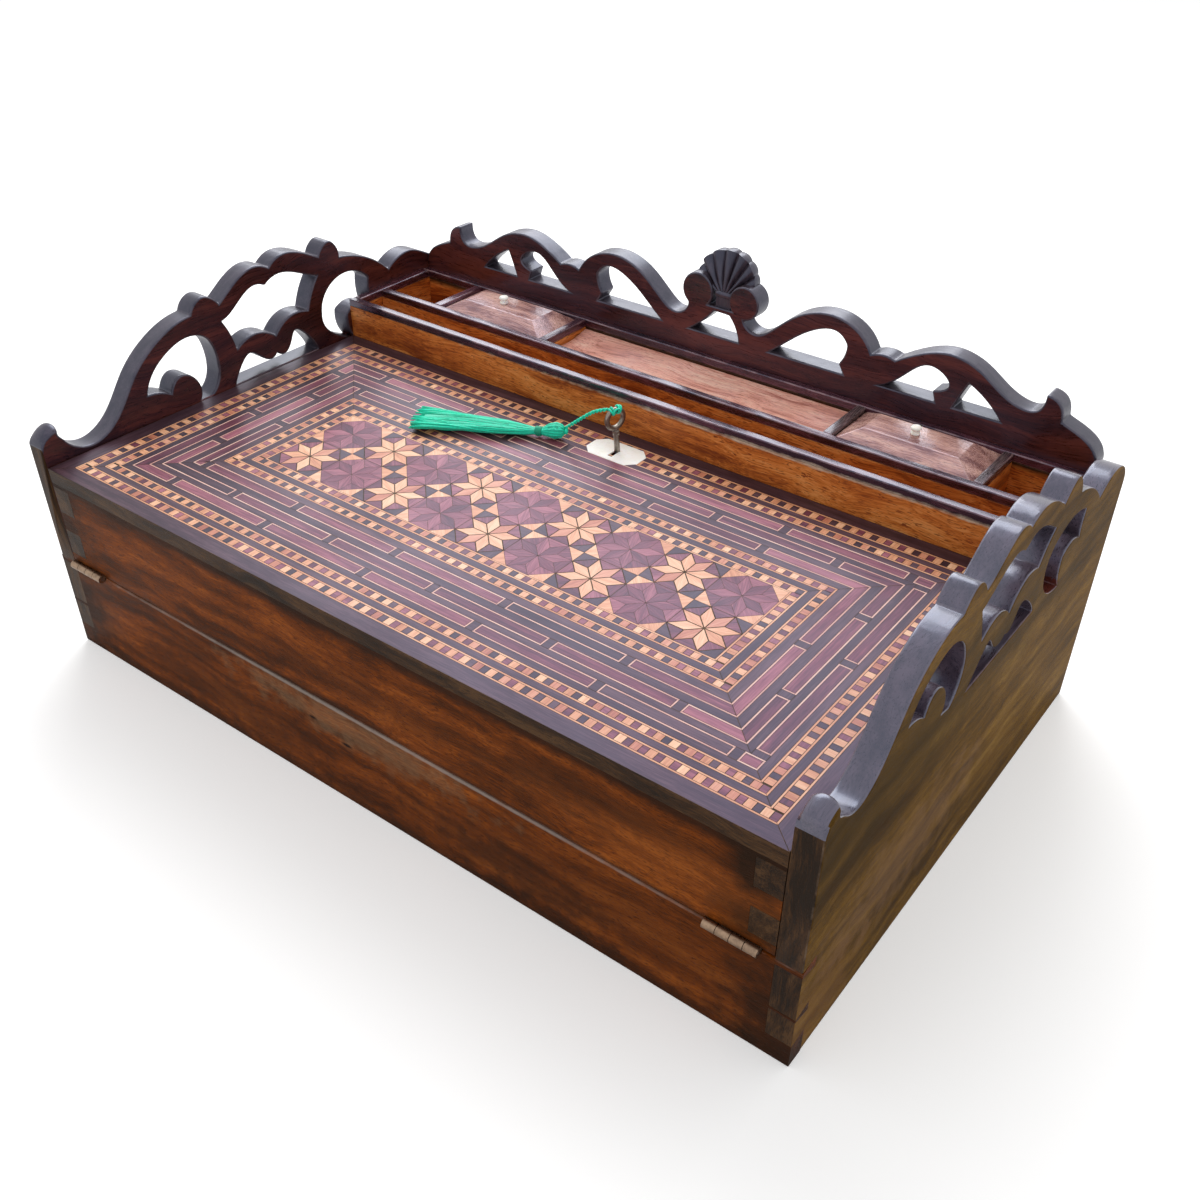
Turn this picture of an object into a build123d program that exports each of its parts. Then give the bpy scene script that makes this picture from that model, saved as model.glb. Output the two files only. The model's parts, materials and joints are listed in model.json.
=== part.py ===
from build123d import *
from math import acos, atan2, cos, degrees, hypot, pi, radians, sin, tan
import os

# A writing box with a parquetry lid, pierced galleries and a fitted tray.
# Millimetres. +X is to the right seen from the front, +Y goes to the back, +Z is up.
# The origin is at the middle of the box's footprint, on the surface that it stands on.

# Driving dimensions ---------------------------------------------------------

# Case
box_width = 460.0
box_depth = 295.0
lid_top = 115.0
side_thickness = 12.0
back_thickness = 12.0
front_thickness = 10.0
bottom_thickness = 8.0

# Lid
opened_lid_lift = 1.0         # lid's top above the table when it is folded right over
lid_side_gap = 0.4
lid_rear_gap = 0.5
lid_side_thickness = 12.5
lid_rail_thickness = 12.0
panel_thickness = 7.1
veneer_thickness = 0.9
parting_gap = 0.4
arris_radius = 1.4

# Dovetails: tails on the sides, thin pins on the front boards
tail_flare = 1.8
case_tail_start = 13.0
case_pin_height = 28.5
case_pin_width = 1.5
case_tail_margin = 3.0
lid_tail_margins = (6.5, 2.0)     # below the lower tail, above the upper one
lid_tail_heights = (14.5, 15.5)

# Writing slope
flap_thickness = 6.0
flap_gap = 0.3
lock_flap_gap = 0.45          # under the lock at the rail: this sets the writing slope
leather_thickness = 0.8
leather_border = 14.0
ledge_width = 6.0
rail_depth = 13.0

# Hinges
hinge_offset = 1.5            # the axis in front of the box's face
barrel_radius = 2.2
hinge_pin_radius = 0.9
pin_clearance = 0.05
hinge_length = 25.0
hinge_inset_left = 0.9
hinge_inset_right = 5.8
knuckle_count = 4
leaf_thickness = 0.9
leaf_width = 9.0
moving_gap = 0.3
screw_radius = 0.9
screw_head_radius = 1.7
screw_length = 7.0

# Tray
tray_rise = 23.0              # rims of the tray above the lid's top
wall_thickness = 4.5
trough_width = 18.0
well_depth = 38.0
tray_floor_thickness = 3.0
tray_height = 38.0            # from the tray's floor to its rims
tray_skirt = 40.0             # the tray's front wall below the tray's floor
end_wall_thickness = 5.0
divider_thickness = 5.0
end_well_left = 40.3
lidded_well_left = 76.7
lidded_well_right = 76.0
end_well_right = 33.0
cap_height = 4.5
cap_overhang = 0.15

# Lids of the wells, and the pen tray
lining_thickness = 2.5
seat_gap = 0.3
loose_fit = 0.4
well_lid_rim_drop = 2.5       # top of the well lid's rim below the tray's rims
well_lid_rim_thickness = 3.4
well_lid_rise = 6.5
well_lid_end_slope = 12.0
well_lid_side_slope = 9.0
knob_shift_left = -3.8        # from the middle of the well
knob_shift_right = -1.8
knob_head_radius = 2.9
knob_head_half_height = 1.35
knob_head_rise = 3.3          # centre of the head above the lid
knob_waist_radius = 1.6
knob_collar_radius = 2.5
knob_collar_height = 1.3
pen_tray_drop = 5.5
pen_tray_thickness = 8.5
pen_hollow_depth = 2.5
pen_hollow_margin = 2.0

# Lock, key and escutcheon
lock_width = 60.0
lock_depth = 34.0
lock_height = 9.3
lock_plate = 1.2
backset = 19.0
bolt_thickness = 3.0
bolt_width = 16.0
bolt_throw = 3.6
bolt_tail_rim = 3.5
bolt_push_offset = 0.9        # the bolt's pushed face behind the key's axis
bit_sweep_room = 1.1          # between the bit's end and the rim in front of it
key_turn = 120.0
strike_width = 34.0
strike_height = 12.0
strike_thickness = 1.0
tip_margin = 1.0              # wood left beyond the strike plate's screws
escutcheon_length = 33.0
escutcheon_width = 18.5
escutcheon_corner = 5.0
escutcheon_proud = 0.3
escutcheon_shift = 1.0
key_shank_radius = 1.55
key_clearance = 0.08
key_bit_reach = 6.5
key_bit_thickness = 2.0
key_bow_height = 19.1         # centre of the bow above the lid
key_bow_radius = 5.2
key_bow_wire = 1.35
key_lean = (-1.0, -1.0)       # centre of the bow beside the key's axis
key_lean_start = 0.8          # above the lid
key_bow_heading = 74.0        # plane of the bow, in degrees from +X

# Tassel on its cord
cord_diameter = 2.1
cord_slack = 0.45             # how much of each run its corners take up
cord_end_climb = 0.35         # slope of the line from the head's centre to the cord's end
cord_end_gap = 0.1
cord_stations = (             # from the key's axis, and below the top of the bow
    (-4.3, -3.0, 0.2), (-8.5, -4.1, 1.6), (-13.4, -4.7, 4.1), (-20.5, -5.7, 10.0),
)
tassel_head_radius = 4.7
tassel_head_half_length = 6.2
tassel_head_place = (-34.4, -9.3)     # from the key's axis
tassel_heading = 204.7
tassel_lift = 0.3
tassel_stations = (           # distance from the head's centre, half width, half height
    (4.4, 2.1, 2.1), (10.8, 1.95, 1.95), (18.0, 3.7, 2.9), (27.0, 5.9, 3.4), (48.0, 7.4, 3.6),
    (77.5, 12.6, 3.6),
)
tassel_neck_rise = 1.2        # underside of the neck above that of the skirt

# Gallery drawings: each curve is a list of (distance, height above the lid), and a cusp
# stands where one curve meets the next. Sides run from the front to the back. A drawing
# is stretched so that its last point comes to the end of the board.

left_crest = (
    ((0, 10.5), (4, 17.0), (12, 19.8)),
    ((12, 19.8), (14, 9.2), (26, 2.3), (41.5, 7.4), (60.5, 29), (77, 41.6), (101, 48.8)),
    ((101, 48.8), (104.8, 54.0), (110.5, 56.1), (116.2, 53.8), (120.4, 49.1)),
    ((120.4, 49.1), (131, 56.4), (144.5, 62.1), (157.3, 58.7)),
    ((157.3, 58.7), (170, 63.6), (182, 60.6), (194, 54.6)),
    ((194, 54.6), (197.2, 59.0), (202.8, 61.3), (208.2, 57.4), (210, 50)),
    ((210, 50), (225.4, 46.4), (238, 40.2), (248.7, 31.5)),
    ((248.7, 31.5), (257, 36.2), (268, 37.9), (281, 33.2), (291.5, 26.2), (295, 17)),
)
left_piercings = (
    (
        ((65.3, 15.3), (72.8, 27.2), (83, 34), (95, 37.5), (107, 34.2), (112.6, 21), (110.6, 6),
         (104.8, 0.5)),
        ((104.8, 0.5), (97.8, 0.5)),
        ((97.8, 0.5), (98.8, 10), (90.8, 18.2), (79.8, 10.9)),
        ((79.8, 10.9), (72.8, 14.2), (65.3, 15.3)),
    ),
    (
        ((120.4, 39), (131.8, 44.8), (142.8, 51.2), (153, 49.6)),
        ((153, 49.6), (167, 52.9), (180, 48.4), (191.1, 43.9)),
        ((191.1, 43.9), (184.4, 34), (181.1, 26.1)),
        ((181.1, 26.1), (167, 27), (155.2, 19.2)),
        ((155.2, 19.2), (142.5, 25), (127.3, 20.6)),
        ((127.3, 20.6), (124.8, 30), (120.4, 39)),
    ),
    (
        ((122.5, 0.5), (129.4, 11), (135, 14.8), (143.5, 9.4), (149.6, 6.2), (154.5, 8.7)),
        ((154.5, 8.7), (161, 6.4), (166.6, 12.8), (169.2, 17.1), (176.6, 13.1), (184.5, 0.5)),
        ((184.5, 0.5), (122.5, 0.5)),
    ),
    (
        ((191.8, 20.6), (196, 31.4), (206.5, 38.2), (219.5, 38.4), (230.4, 31.5)),
        ((230.4, 31.5), (229.8, 22), (231, 14.8)),
        ((231, 14.8), (220, 18), (210.8, 14.6)),
        ((210.8, 14.6), (210.8, 6), (215, -2.5)),
        ((215, -2.5), (201, 4.6), (193.2, 12.2), (191.8, 20.6)),
    ),
)
right_crest = (
    ((0, 20.6), (5, 22.6), (10.8, 24.9)),
    ((10.8, 24.9), (13, 15.6), (24, 9.3), (38.7, 15.4), (56, 37), (74, 49.4), (94.2, 52.8)),
    ((94.2, 52.8), (98.8, 57.8), (105.2, 60.5), (111.4, 57.6), (115.7, 52)),
    ((115.7, 52), (127, 57.8), (141, 64.9), (155.2, 60.3)),
    ((155.2, 60.3), (166, 63.6), (180, 60.6), (196.4, 51.2)),
    ((196.4, 51.2), (202, 56.6), (208.6, 59), (215, 54.6), (219, 46.7)),
    ((219, 46.7), (233, 42.4), (246, 35.2), (255.9, 26.6)),
    ((255.9, 26.6), (263.3, 30.7), (272.5, 33.1), (283, 31.4), (292, 25.6), (295, 17)),
)
right_piercings = (
    (
        ((59.4, 22.2), (65.5, 32.6), (76, 39.2), (87.2, 41.7), (100, 36.8), (108.2, 21), (106.2, 9),
         (101.6, 3.6)),
        ((101.6, 3.6), (93.2, 5.2)),
        ((93.2, 5.2), (92.6, 18.2), (83.4, 25), (74.8, 16.7)),
        ((74.8, 16.7), (67.4, 20.8), (59.4, 22.2)),
    ),
    (
        ((115.7, 42.5), (128, 48.2), (141, 53), (153.6, 49.8)),
        ((153.6, 49.8), (167.6, 53), (180, 48.6), (192.1, 41.6)),
        ((192.1, 41.6), (186, 35.8), (180.7, 27.9)),
        ((180.7, 27.9), (165.5, 29.4), (153.3, 19.9)),
        ((153.3, 19.9), (139, 27.6), (124.1, 22.7)),
        ((124.1, 22.7), (120, 33), (115.7, 42.5)),
    ),
    (
        ((118, 0.5), (127.4, 12), (134.2, 16.7), (141.8, 9.2), (148, 6.3), (153.8, 8.6)),
        ((153.8, 8.6), (160.4, 7.6), (166.8, 16), (175, 13.9), (188.5, 0.5)),
        ((188.5, 0.5), (118, 0.5)),
    ),
    (
        ((193.4, 18.5), (197, 29.4), (206, 33.7), (219, 34.9), (236.2, 30.1)),
        ((236.2, 30.1), (235.8, 21.6), (237, 14.8)),
        ((237, 14.8), (225.4, 18), (216.3, 14.6)),
        ((216.3, 14.6), (216.6, 6), (221.3, -3.5)),
        ((221.3, -3.5), (206, 0.6), (195.6, 11.4), (193.4, 18.5)),
    ),
)

# Right half of the back's crest and piercings, from the middle outwards
shell_seat = 51.0
shell_seat_half_width = 14.0
volutes = {                   # distance from the middle, height, radius
    "left": (-12.2, 57.6, 9.8),
    "right": (17.6, 56.9, 9.3),
}
back_crest = (
    ((18, 49.7), (19.6, 45), (25.9, 42), (36.5, 47.5), (51.6, 59.5), (68, 64.5), (84, 61), (95, 49.6)),
    ((95, 49.6), (101.6, 51.3), (108.5, 50)),
    ((108.5, 50), (121, 57.2), (135.5, 61.3), (154, 56.7), (172, 46), (183.3, 45), (187.4, 54.8)),
    ((187.4, 54.8), (194.2, 52.4), (197.5, 43.4)),
    ((197.5, 43.4), (207.7, 39.4), (214.4, 34.8), (218, 27.5)),
)
centre_piercing = (
    ((-16, 34.5), (-8.4, 40.2), (-0.6, 48.4)),
    ((-0.6, 48.4), (9.0, 48.0)),
    ((9.0, 48.0), (11.6, 45.0), (16, 34.5)),
    ((16, 34.5), (-16, 34.5)),
)
back_piercings = (
    (
        ((36, 34.5), (48.5, 44.9), (61, 53.4), (73.6, 56.4), (81, 50.5)),
        ((81, 50.5), (80, 44.2), (77.5, 39.6)),
        ((77.5, 39.6), (80.7, 34.5)),
        ((80.7, 34.5), (36, 34.5)),
    ),
    (
        ((102.6, 34.5), (114, 42.9), (129, 52.2), (138.6, 46), (130.8, 40.2)),
        ((130.8, 40.2), (132.8, 34.5)),
        ((132.8, 34.5), (102.6, 34.5)),
    ),
    (
        ((142.9, 34.5), (146.2, 42.6), (149, 49)),
        ((149, 49), (158.6, 43.3), (167.9, 34.5)),
        ((167.9, 34.5), (142.9, 34.5)),
    ),
)
shell_centre = (4.0, 65.0)    # distance from the middle, height
shell_radius = 16.6
shell_half_angle = 98.0
shell_flutes = 7
shell_scallop = 0.9
shell_stub_half_width = 5.0

# Places worked out from the driving dimensions --------------------------------

half_width = box_width / 2
inner_half = half_width - side_thickness
front_y = -(box_depth - hinge_offset - barrel_radius) / 2
rear_y = front_y + box_depth
back_face_y = rear_y - back_thickness
front_inner_y = front_y + front_thickness

tray_top = lid_top + tray_rise
tray_floor_top = tray_top - tray_height
wall_top = tray_top - cap_height
well_rear_y = back_face_y - wall_thickness
well_front_y = well_rear_y - well_depth
divider_front_y = well_front_y - wall_thickness
trough_front_y = divider_front_y - trough_width
tray_front_y = trough_front_y - wall_thickness

lid_half = inner_half - lid_side_gap
lid_inner_half = lid_half - lid_side_thickness
lid_rear_y = tray_front_y - lid_rear_gap
lid_rail_y = lid_rear_y - lid_rail_thickness
panel_top = lid_top - veneer_thickness
panel_bottom = panel_top - panel_thickness

hinge_y = front_y - hinge_offset
hinge_z = (lid_top + opened_lid_lift) / 2
half_gap = parting_gap / 2
lock_bottom = panel_bottom - lock_height
# The writing slope starts at the hinge axis, and the lid's flap just clears the lock.
flap_run = lid_rail_y - hinge_y
flap_rise = lock_bottom - lock_flap_gap - hinge_z
slope = acos((half_gap + flap_thickness) / hypot(flap_run, flap_rise)) - atan2(flap_run, flap_rise)
leaf_sides = {
    "left": (-lid_half + hinge_inset_left, -lid_half + hinge_inset_left + hinge_length),
    "right": (lid_half - hinge_inset_right - hinge_length, lid_half - hinge_inset_right),
}

tray_half = inner_half - end_wall_thickness
divider_1_x = -tray_half + end_well_left
divider_2_x = divider_1_x + divider_thickness + lidded_well_left
divider_4_x = tray_half - end_well_right - divider_thickness
divider_3_x = divider_4_x - lidded_well_right - divider_thickness
divider_starts = (divider_1_x, divider_2_x, divider_3_x, divider_4_x)
well_spans = {
    "left": (divider_1_x + divider_thickness, divider_2_x),
    "right": (divider_3_x + divider_thickness, divider_4_x),
}
pen_span = (divider_2_x + divider_thickness, divider_3_x)

key_y = lid_rear_y - backset
lock_front_y = lid_rear_y - lock_depth
bolt_top = panel_bottom - lock_plate - moving_gap
bolt_bottom = bolt_top - bolt_thickness


# Small tools --------------------------------------------------------------------

standing = (Align.CENTER, Align.CENTER, Align.MIN)
hanging = (Align.CENTER, Align.CENTER, Align.MAX)


def block(x_lo, x_hi, y_lo, y_hi, z_lo, z_hi):
    """A box between its limits."""
    middle = Pos((x_lo + x_hi) / 2, (y_lo + y_hi) / 2, (z_lo + z_hi) / 2)
    return middle * Box(x_hi - x_lo, y_hi - y_lo, z_hi - z_lo)


def slope_z(y, above=0.0):
    """Height of the parting plane at y, or of a plane parallel to it."""
    return hinge_z + (y - hinge_y) * tan(slope) + above / cos(slope)


def wedge(x_lo, x_hi, y_lo, y_hi, low, high):
    """A prism along X whose lower and upper edges are heights, or functions of y."""
    def level(edge, y):
        return edge(y) if callable(edge) else edge
    corners = [(y_lo, level(low, y_lo)), (y_hi, level(low, y_hi)),
               (y_hi, level(high, y_hi)), (y_lo, level(high, y_lo))]
    side = make_face(Polyline(*corners, close=True))
    return extrude(Plane.YZ.offset(x_lo) * side, x_hi - x_lo)


def slope_frame():
    """The hinge axis, with local Y up the writing slope and local Z out of it."""
    return Pos(0, hinge_y, hinge_z) * Rot(degrees(slope), 0, 0)


def rod_x(x_lo, x_hi, y, z, radius):
    """A cylinder along X."""
    return Pos((x_lo + x_hi) / 2, y, z) * Rot(0, 90, 0) * Cylinder(radius, x_hi - x_lo)


def rounding(x_lo, x_hi, z, inwards):
    """What rounds the front arris of a board: a square corner less its quarter round."""
    z_in = z + inwards * arris_radius
    corner = block(x_lo, x_hi, front_y, front_y + arris_radius, min(z, z_in), max(z, z_in))
    return corner - rod_x(x_lo, x_hi, front_y + arris_radius, z_in, arris_radius)


def drawn_face(curves, stretch):
    """A face inside curves, with distances times stretch."""
    edges = []
    for points in curves:
        placed = [(stretch * along, height) for along, height in points]
        edges.append(Line(*placed) if len(placed) == 2 else Spline(*placed))
    return make_face(edges)


def tails(x_lo, x_hi, depth, spans):
    """Dovetails that widen by tail_flare towards the front face."""
    solid = None
    for low, high in spans:
        corners = [(front_y, low), (front_y, high), (front_y + depth, high - tail_flare),
                   (front_y + depth, low + tail_flare)]
        side = make_face(Polyline(*corners, close=True))
        tail = extrude(Plane.YZ.offset(x_lo) * side, x_hi - x_lo)
        solid = tail if solid is None else solid + tail
    return solid


parts = {}


# Case -------------------------------------------------------------------------------

def case_front_blank():
    """Front board up to the parting plane, cut for the sides' tails."""
    board = wedge(-half_width, half_width, front_y, front_inner_y, 0,
                  lambda y: slope_z(y, -half_gap))
    spans = ((case_tail_start, case_pin_height),
             (case_pin_height + case_pin_width, hinge_z - case_tail_margin))
    for side in (-1, 1):
        ends = sorted((side * inner_half, side * half_width))
        board -= tails(*ends, front_thickness, spans)
    return board


def make_lower_front_board():
    """The case's front, rounded along the parting line and let in for the hinges."""
    top = slope_z(front_y, -half_gap)
    board = case_front_blank() - rounding(-inner_half, inner_half, top, -1)
    for x_lo, x_hi in leaf_sides.values():
        board -= leaf_plate(x_lo, x_hi, -1)
        board -= barrel_relief(x_lo, x_hi)
        board -= leaf_screws(x_lo, x_hi, -1)
    return board


def make_side_board(crest, piercings, x_lo):
    """A full-height side with its pierced gallery, dovetailed into the front board."""
    first = crest[0][0]
    last = crest[-1][-1]
    stretch = box_depth / last[0]
    foot = (((last[0], last[1]), (last[0], -lid_top)), ((last[0], -lid_top), (first[0], -lid_top)),
            ((first[0], -lid_top), first))
    face = drawn_face(crest + foot, stretch)
    for piercing in piercings:
        face -= drawn_face(piercing, stretch)
    board = extrude(Plane((x_lo, front_y, lid_top), (0, 1, 0), (1, 0, 0)) * face, side_thickness)
    return board - case_front_blank()


def make_back_board():
    """The back between the sides, with its pierced crest and the two volutes."""
    stretch = back_stretch()
    first = back_crest[0][0]
    last = back_crest[-1][-1]
    seat = (((0, shell_seat), (shell_seat_half_width, shell_seat)),
            ((shell_seat_half_width, shell_seat), first))
    foot = ((last, (last[0], -lid_top)), ((last[0], -lid_top), (0, -lid_top)),
            ((0, -lid_top), (0, shell_seat)))
    half = drawn_face(seat + back_crest + foot, stretch)
    for piercing in back_piercings:
        half -= drawn_face(piercing, stretch)
    face = half + mirror(half, Plane.YZ)
    for name in volutes:
        face += volute_disc(name)
    face -= drawn_face(centre_piercing, stretch)
    return extrude(back_plane() * face, back_thickness)


def back_stretch():
    """What the back's drawing is stretched by, to fill the room between the sides."""
    return inner_half / back_crest[-1][-1][0]


def back_plane():
    """The rear face of the back, level with the lid's top, looking forwards."""
    return Plane((0, rear_y, lid_top), (1, 0, 0), (0, -1, 0))


def volute_disc(name):
    """The round eye of a volute."""
    x, height, radius = volutes[name]
    return Pos(x, height) * Circle(radius)


def make_shell_crest():
    """The carved shell between the volutes: a fan with a scalloped rim on a short stub."""
    step = radians(2 * shell_half_angle / shell_flutes)
    middle = shell_centre[0]

    def rim(turn, radius):
        return (middle + radius * sin(turn), shell_centre[1] + radius * cos(turn))
    start = -radians(shell_half_angle)
    arcs = []
    for flute in range(shell_flutes):
        turn = start + flute * step
        arcs.append(ThreePointArc(rim(turn, shell_radius - shell_scallop),
                                  rim(turn + step / 2, shell_radius),
                                  rim(turn + step, shell_radius - shell_scallop)))
    left_end = rim(start, shell_radius - shell_scallop)
    right_end = rim(-start, shell_radius - shell_scallop)
    left_foot = (middle - shell_stub_half_width, shell_seat)
    right_foot = (middle + shell_stub_half_width, shell_seat)
    sides = [Line(right_end, right_foot), Line(right_foot, left_foot), Line(left_foot, left_end)]
    fan = make_face(arcs + sides)
    for name in volutes:
        fan -= volute_disc(name)
    return extrude(back_plane() * fan, back_thickness)


def make_bottom_board():
    """The bottom, between the other boards."""
    return block(-inner_half, inner_half, front_inner_y, back_face_y, 0, bottom_thickness)


def make_slope_rail(side):
    """A rail beside the flap, flush with the slope, with a ledge that carries the flap."""
    outer = sorted((side * lid_inner_half, side * inner_half))
    ledge = sorted((side * (lid_inner_half - ledge_width), side * lid_inner_half))
    rail = wedge(*outer, front_inner_y, tray_front_y, lambda y: slope_z(y, -half_gap - rail_depth),
                 lambda y: slope_z(y, -half_gap))
    step = wedge(*ledge, front_inner_y, tray_front_y, lambda y: slope_z(y, -half_gap - rail_depth),
                 lambda y: slope_z(y, -half_gap - flap_thickness))
    return rail + step


def make_flap(rear_limit_y, way):
    """A writing flap with its leather's recess; way is -1 in the case and 1 in the lid."""
    near = way * half_gap
    far = near + way * flap_thickness
    low, high = min(near, far), max(near, far)
    half = lid_inner_half - flap_gap
    board = wedge(-half, half, front_inner_y + flap_gap, rear_limit_y - flap_gap,
                  lambda y: slope_z(y, low), lambda y: slope_z(y, high))
    return board - make_leather(rear_limit_y, way)


def make_leather(rear_limit_y, way):
    """The writing leather, flush in the flap's face on the parting plane."""
    near = way * half_gap
    far = near + way * leather_thickness
    low, high = min(near, far), max(near, far)
    half = lid_inner_half - flap_gap - leather_border
    return wedge(-half, half, front_inner_y + flap_gap + leather_border,
                 rear_limit_y - flap_gap - leather_border,
                 lambda y: slope_z(y, low), lambda y: slope_z(y, high))


# Hinges ----------------------------------------------------------------------------------

def leaf_plate(x_lo, x_hi, way):
    """The flat of a hinge leaf, let into a board's edge; way is -1 in the case, 1 in the lid."""
    near = way * half_gap
    far = near + way * leaf_thickness
    return slope_frame() * block(x_lo, x_hi, 0, leaf_width, min(near, far), max(near, far))


def barrel_relief(x_lo, x_hi):
    """The room that the hinge's barrel takes in the boards."""
    return rod_x(x_lo - moving_gap, x_hi + moving_gap, hinge_y, hinge_z, barrel_radius + moving_gap)


def leaf_screw_places(x_lo, x_hi):
    """Where a leaf's two screws stand, up the slope from the axis."""
    up = (barrel_radius + leaf_width) / 2
    return [(x_lo + hinge_length / 4, up), (x_hi - hinge_length / 4, up)]


def leaf_screws(x_lo, x_hi, way):
    """Two countersunk screws through a leaf into the board's edge."""
    screws = None
    for x, up in leaf_screw_places(x_lo, x_hi):
        head = Cone(screw_radius, screw_head_radius, leaf_thickness, align=hanging)
        shank = Cylinder(screw_radius, screw_length, align=hanging)
        screw = Pos(x, up, -half_gap) * (head + shank)
        if way > 0:
            screw = mirror(screw, Plane.XY)
        screw = slope_frame() * screw
        screws = screw if screws is None else screws + screw
    return screws


def make_leaf(x_lo, x_hi, way):
    """A hinge leaf with every other knuckle of the barrel."""
    pitch = hinge_length / knuckle_count
    first = 0 if way < 0 else 1
    leaf = leaf_plate(x_lo, x_hi, way)
    for knuckle in range(knuckle_count):
        start = x_lo + knuckle * pitch
        if knuckle % 2 == first:
            leaf += rod_x(start + moving_gap / 2, start + pitch - moving_gap / 2, hinge_y, hinge_z,
                          barrel_radius)
    for knuckle in range(knuckle_count):
        start = x_lo + knuckle * pitch
        if knuckle % 2 != first:
            leaf -= rod_x(start - moving_gap / 2, start + pitch + moving_gap / 2, hinge_y, hinge_z,
                          barrel_radius + moving_gap)
    leaf -= rod_x(x_lo, x_hi, hinge_y, hinge_z, hinge_pin_radius + pin_clearance)
    return leaf - leaf_screws(x_lo, x_hi, way)


def make_hinge_pin(x_lo, x_hi):
    """The pin through a hinge's knuckles."""
    return rod_x(x_lo, x_hi, hinge_y, hinge_z, hinge_pin_radius)


# Tray -------------------------------------------------------------------------------------

def make_tray_front_wall():
    """The wall behind the lid, with the bolt's pocket and the strike plate's seat."""
    wall = block(-inner_half, inner_half, tray_front_y, trough_front_y,
                 tray_floor_top - tray_floor_thickness - tray_skirt, wall_top)
    wall -= strike_block()
    return wall - bolt_pocket()


def strike_block():
    """The strike plate's outer shape, flush in the wall."""
    middle = (bolt_top + bolt_bottom) / 2
    return block(-strike_width / 2, strike_width / 2, tray_front_y, tray_front_y + strike_thickness,
                 middle - strike_height / 2, middle + strike_height / 2)


def bolt_pocket():
    """The pocket that the thrown bolt enters."""
    reach = lid_rear_y + bolt_throw + moving_gap
    return block(-bolt_width / 2 - loose_fit, bolt_width / 2 + loose_fit, tray_front_y, reach,
                 bolt_bottom - loose_fit, bolt_top + loose_fit)


def make_strike_plate():
    """Brass plate round the bolt's pocket."""
    return strike_block() - bolt_pocket() - strike_screws()


def strike_screws():
    """Two screws that hold the strike plate."""
    screws = None
    middle = (bolt_top + bolt_bottom) / 2
    for side in (-1, 1):
        x = side * (strike_width / 2 + bolt_width / 2) / 2
        length = wall_thickness - strike_thickness
        head = Cone(screw_head_radius, screw_radius, strike_thickness, align=standing)
        shank = Pos(0, 0, strike_thickness) * Cylinder(screw_radius, length - tip_margin, align=standing)
        screw = Pos(x, tray_front_y, middle) * Rot(-90, 0, 0) * (head + shank)
        screws = screw if screws is None else screws + screw
    return screws


def make_tray_wall(x_lo, x_hi, y_lo, y_hi):
    """A wall from the tray's floor up to its cap."""
    return block(x_lo, x_hi, y_lo, y_hi, tray_floor_top, wall_top)


def make_cap(x_lo, x_hi, y_lo, y_hi):
    """A dark cap strip on top of a wall."""
    return block(x_lo, x_hi, y_lo, y_hi, wall_top, tray_top)


def make_lining(span, height):
    """A thin frame inside a well, whose upper edge carries a lid or the pen tray."""
    x_lo, x_hi = span
    top = tray_top - height
    outer = block(x_lo, x_hi, well_front_y, well_rear_y, tray_floor_top, top)
    inner = block(x_lo + lining_thickness, x_hi - lining_thickness, well_front_y + lining_thickness,
                  well_rear_y - lining_thickness, tray_floor_top, top)
    return outer - inner


def make_well_lid(span):
    """A loose lid: a flat rim with four slopes up to a small flat top."""
    x_lo, x_hi = span[0] + loose_fit, span[1] - loose_fit
    y_lo, y_hi = well_front_y + loose_fit, well_rear_y - loose_fit
    rim_top = tray_top - well_lid_rim_drop
    centre = Pos((x_lo + x_hi) / 2, (y_lo + y_hi) / 2, rim_top)
    width, depth = x_hi - x_lo, y_hi - y_lo
    low = Rectangle(width, depth)
    flat = Rectangle(width - 2 * well_lid_end_slope, depth - 2 * well_lid_side_slope)
    high = Pos(0, 0, well_lid_rise) * flat
    hips = loft([low.face(), high.face()], ruled=True)
    rim = block(x_lo, x_hi, y_lo, y_hi, rim_top - well_lid_rim_thickness, rim_top)
    return rim + centre * hips


def make_knob(span, shift):
    """A turned bone knob: a collar, a waist and a flattened head."""
    base = tray_top - well_lid_rim_drop + well_lid_rise
    place = Pos((span[0] + span[1]) / 2 + shift, (well_front_y + well_rear_y) / 2, base)
    collar = Cylinder(knob_collar_radius, knob_collar_height, align=standing)
    waist = Cylinder(knob_waist_radius, knob_head_rise, align=standing)
    flat = knob_head_half_height / knob_head_radius
    head = Pos(0, 0, knob_head_rise) * scale(Sphere(knob_head_radius), by=(1, 1, flat))
    return place * (collar + waist + head)


def make_pen_tray():
    """The loose tray for pens, hollowed along its length."""
    top = tray_top - pen_tray_drop
    y_lo, y_hi = well_front_y + loose_fit, well_rear_y - loose_fit
    tray = block(pen_span[0] + loose_fit, pen_span[1] - loose_fit, y_lo, y_hi, top - pen_tray_thickness, top)
    half_chord = (y_hi - y_lo) / 2 - pen_hollow_margin
    radius = (half_chord ** 2 + pen_hollow_depth ** 2) / (2 * pen_hollow_depth)
    centre_z = top - pen_hollow_depth + radius
    return tray - rod_x(pen_span[0], pen_span[1], (y_lo + y_hi) / 2, centre_z, radius)


# Lid ----------------------------------------------------------------------------------------

def key_way(z_lo, z_hi):
    """The keyhole: round for the shank, with a slot towards the front for the bit."""
    radius = key_shank_radius + key_clearance
    round_hole = Pos(0, key_y, (z_lo + z_hi) / 2) * Cylinder(radius, z_hi - z_lo)
    half_slot = key_bit_thickness / 2 + moving_gap
    slot = block(-half_slot, half_slot, key_y - key_bit_reach - moving_gap, key_y, z_lo, z_hi)
    return round_hole + slot


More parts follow.
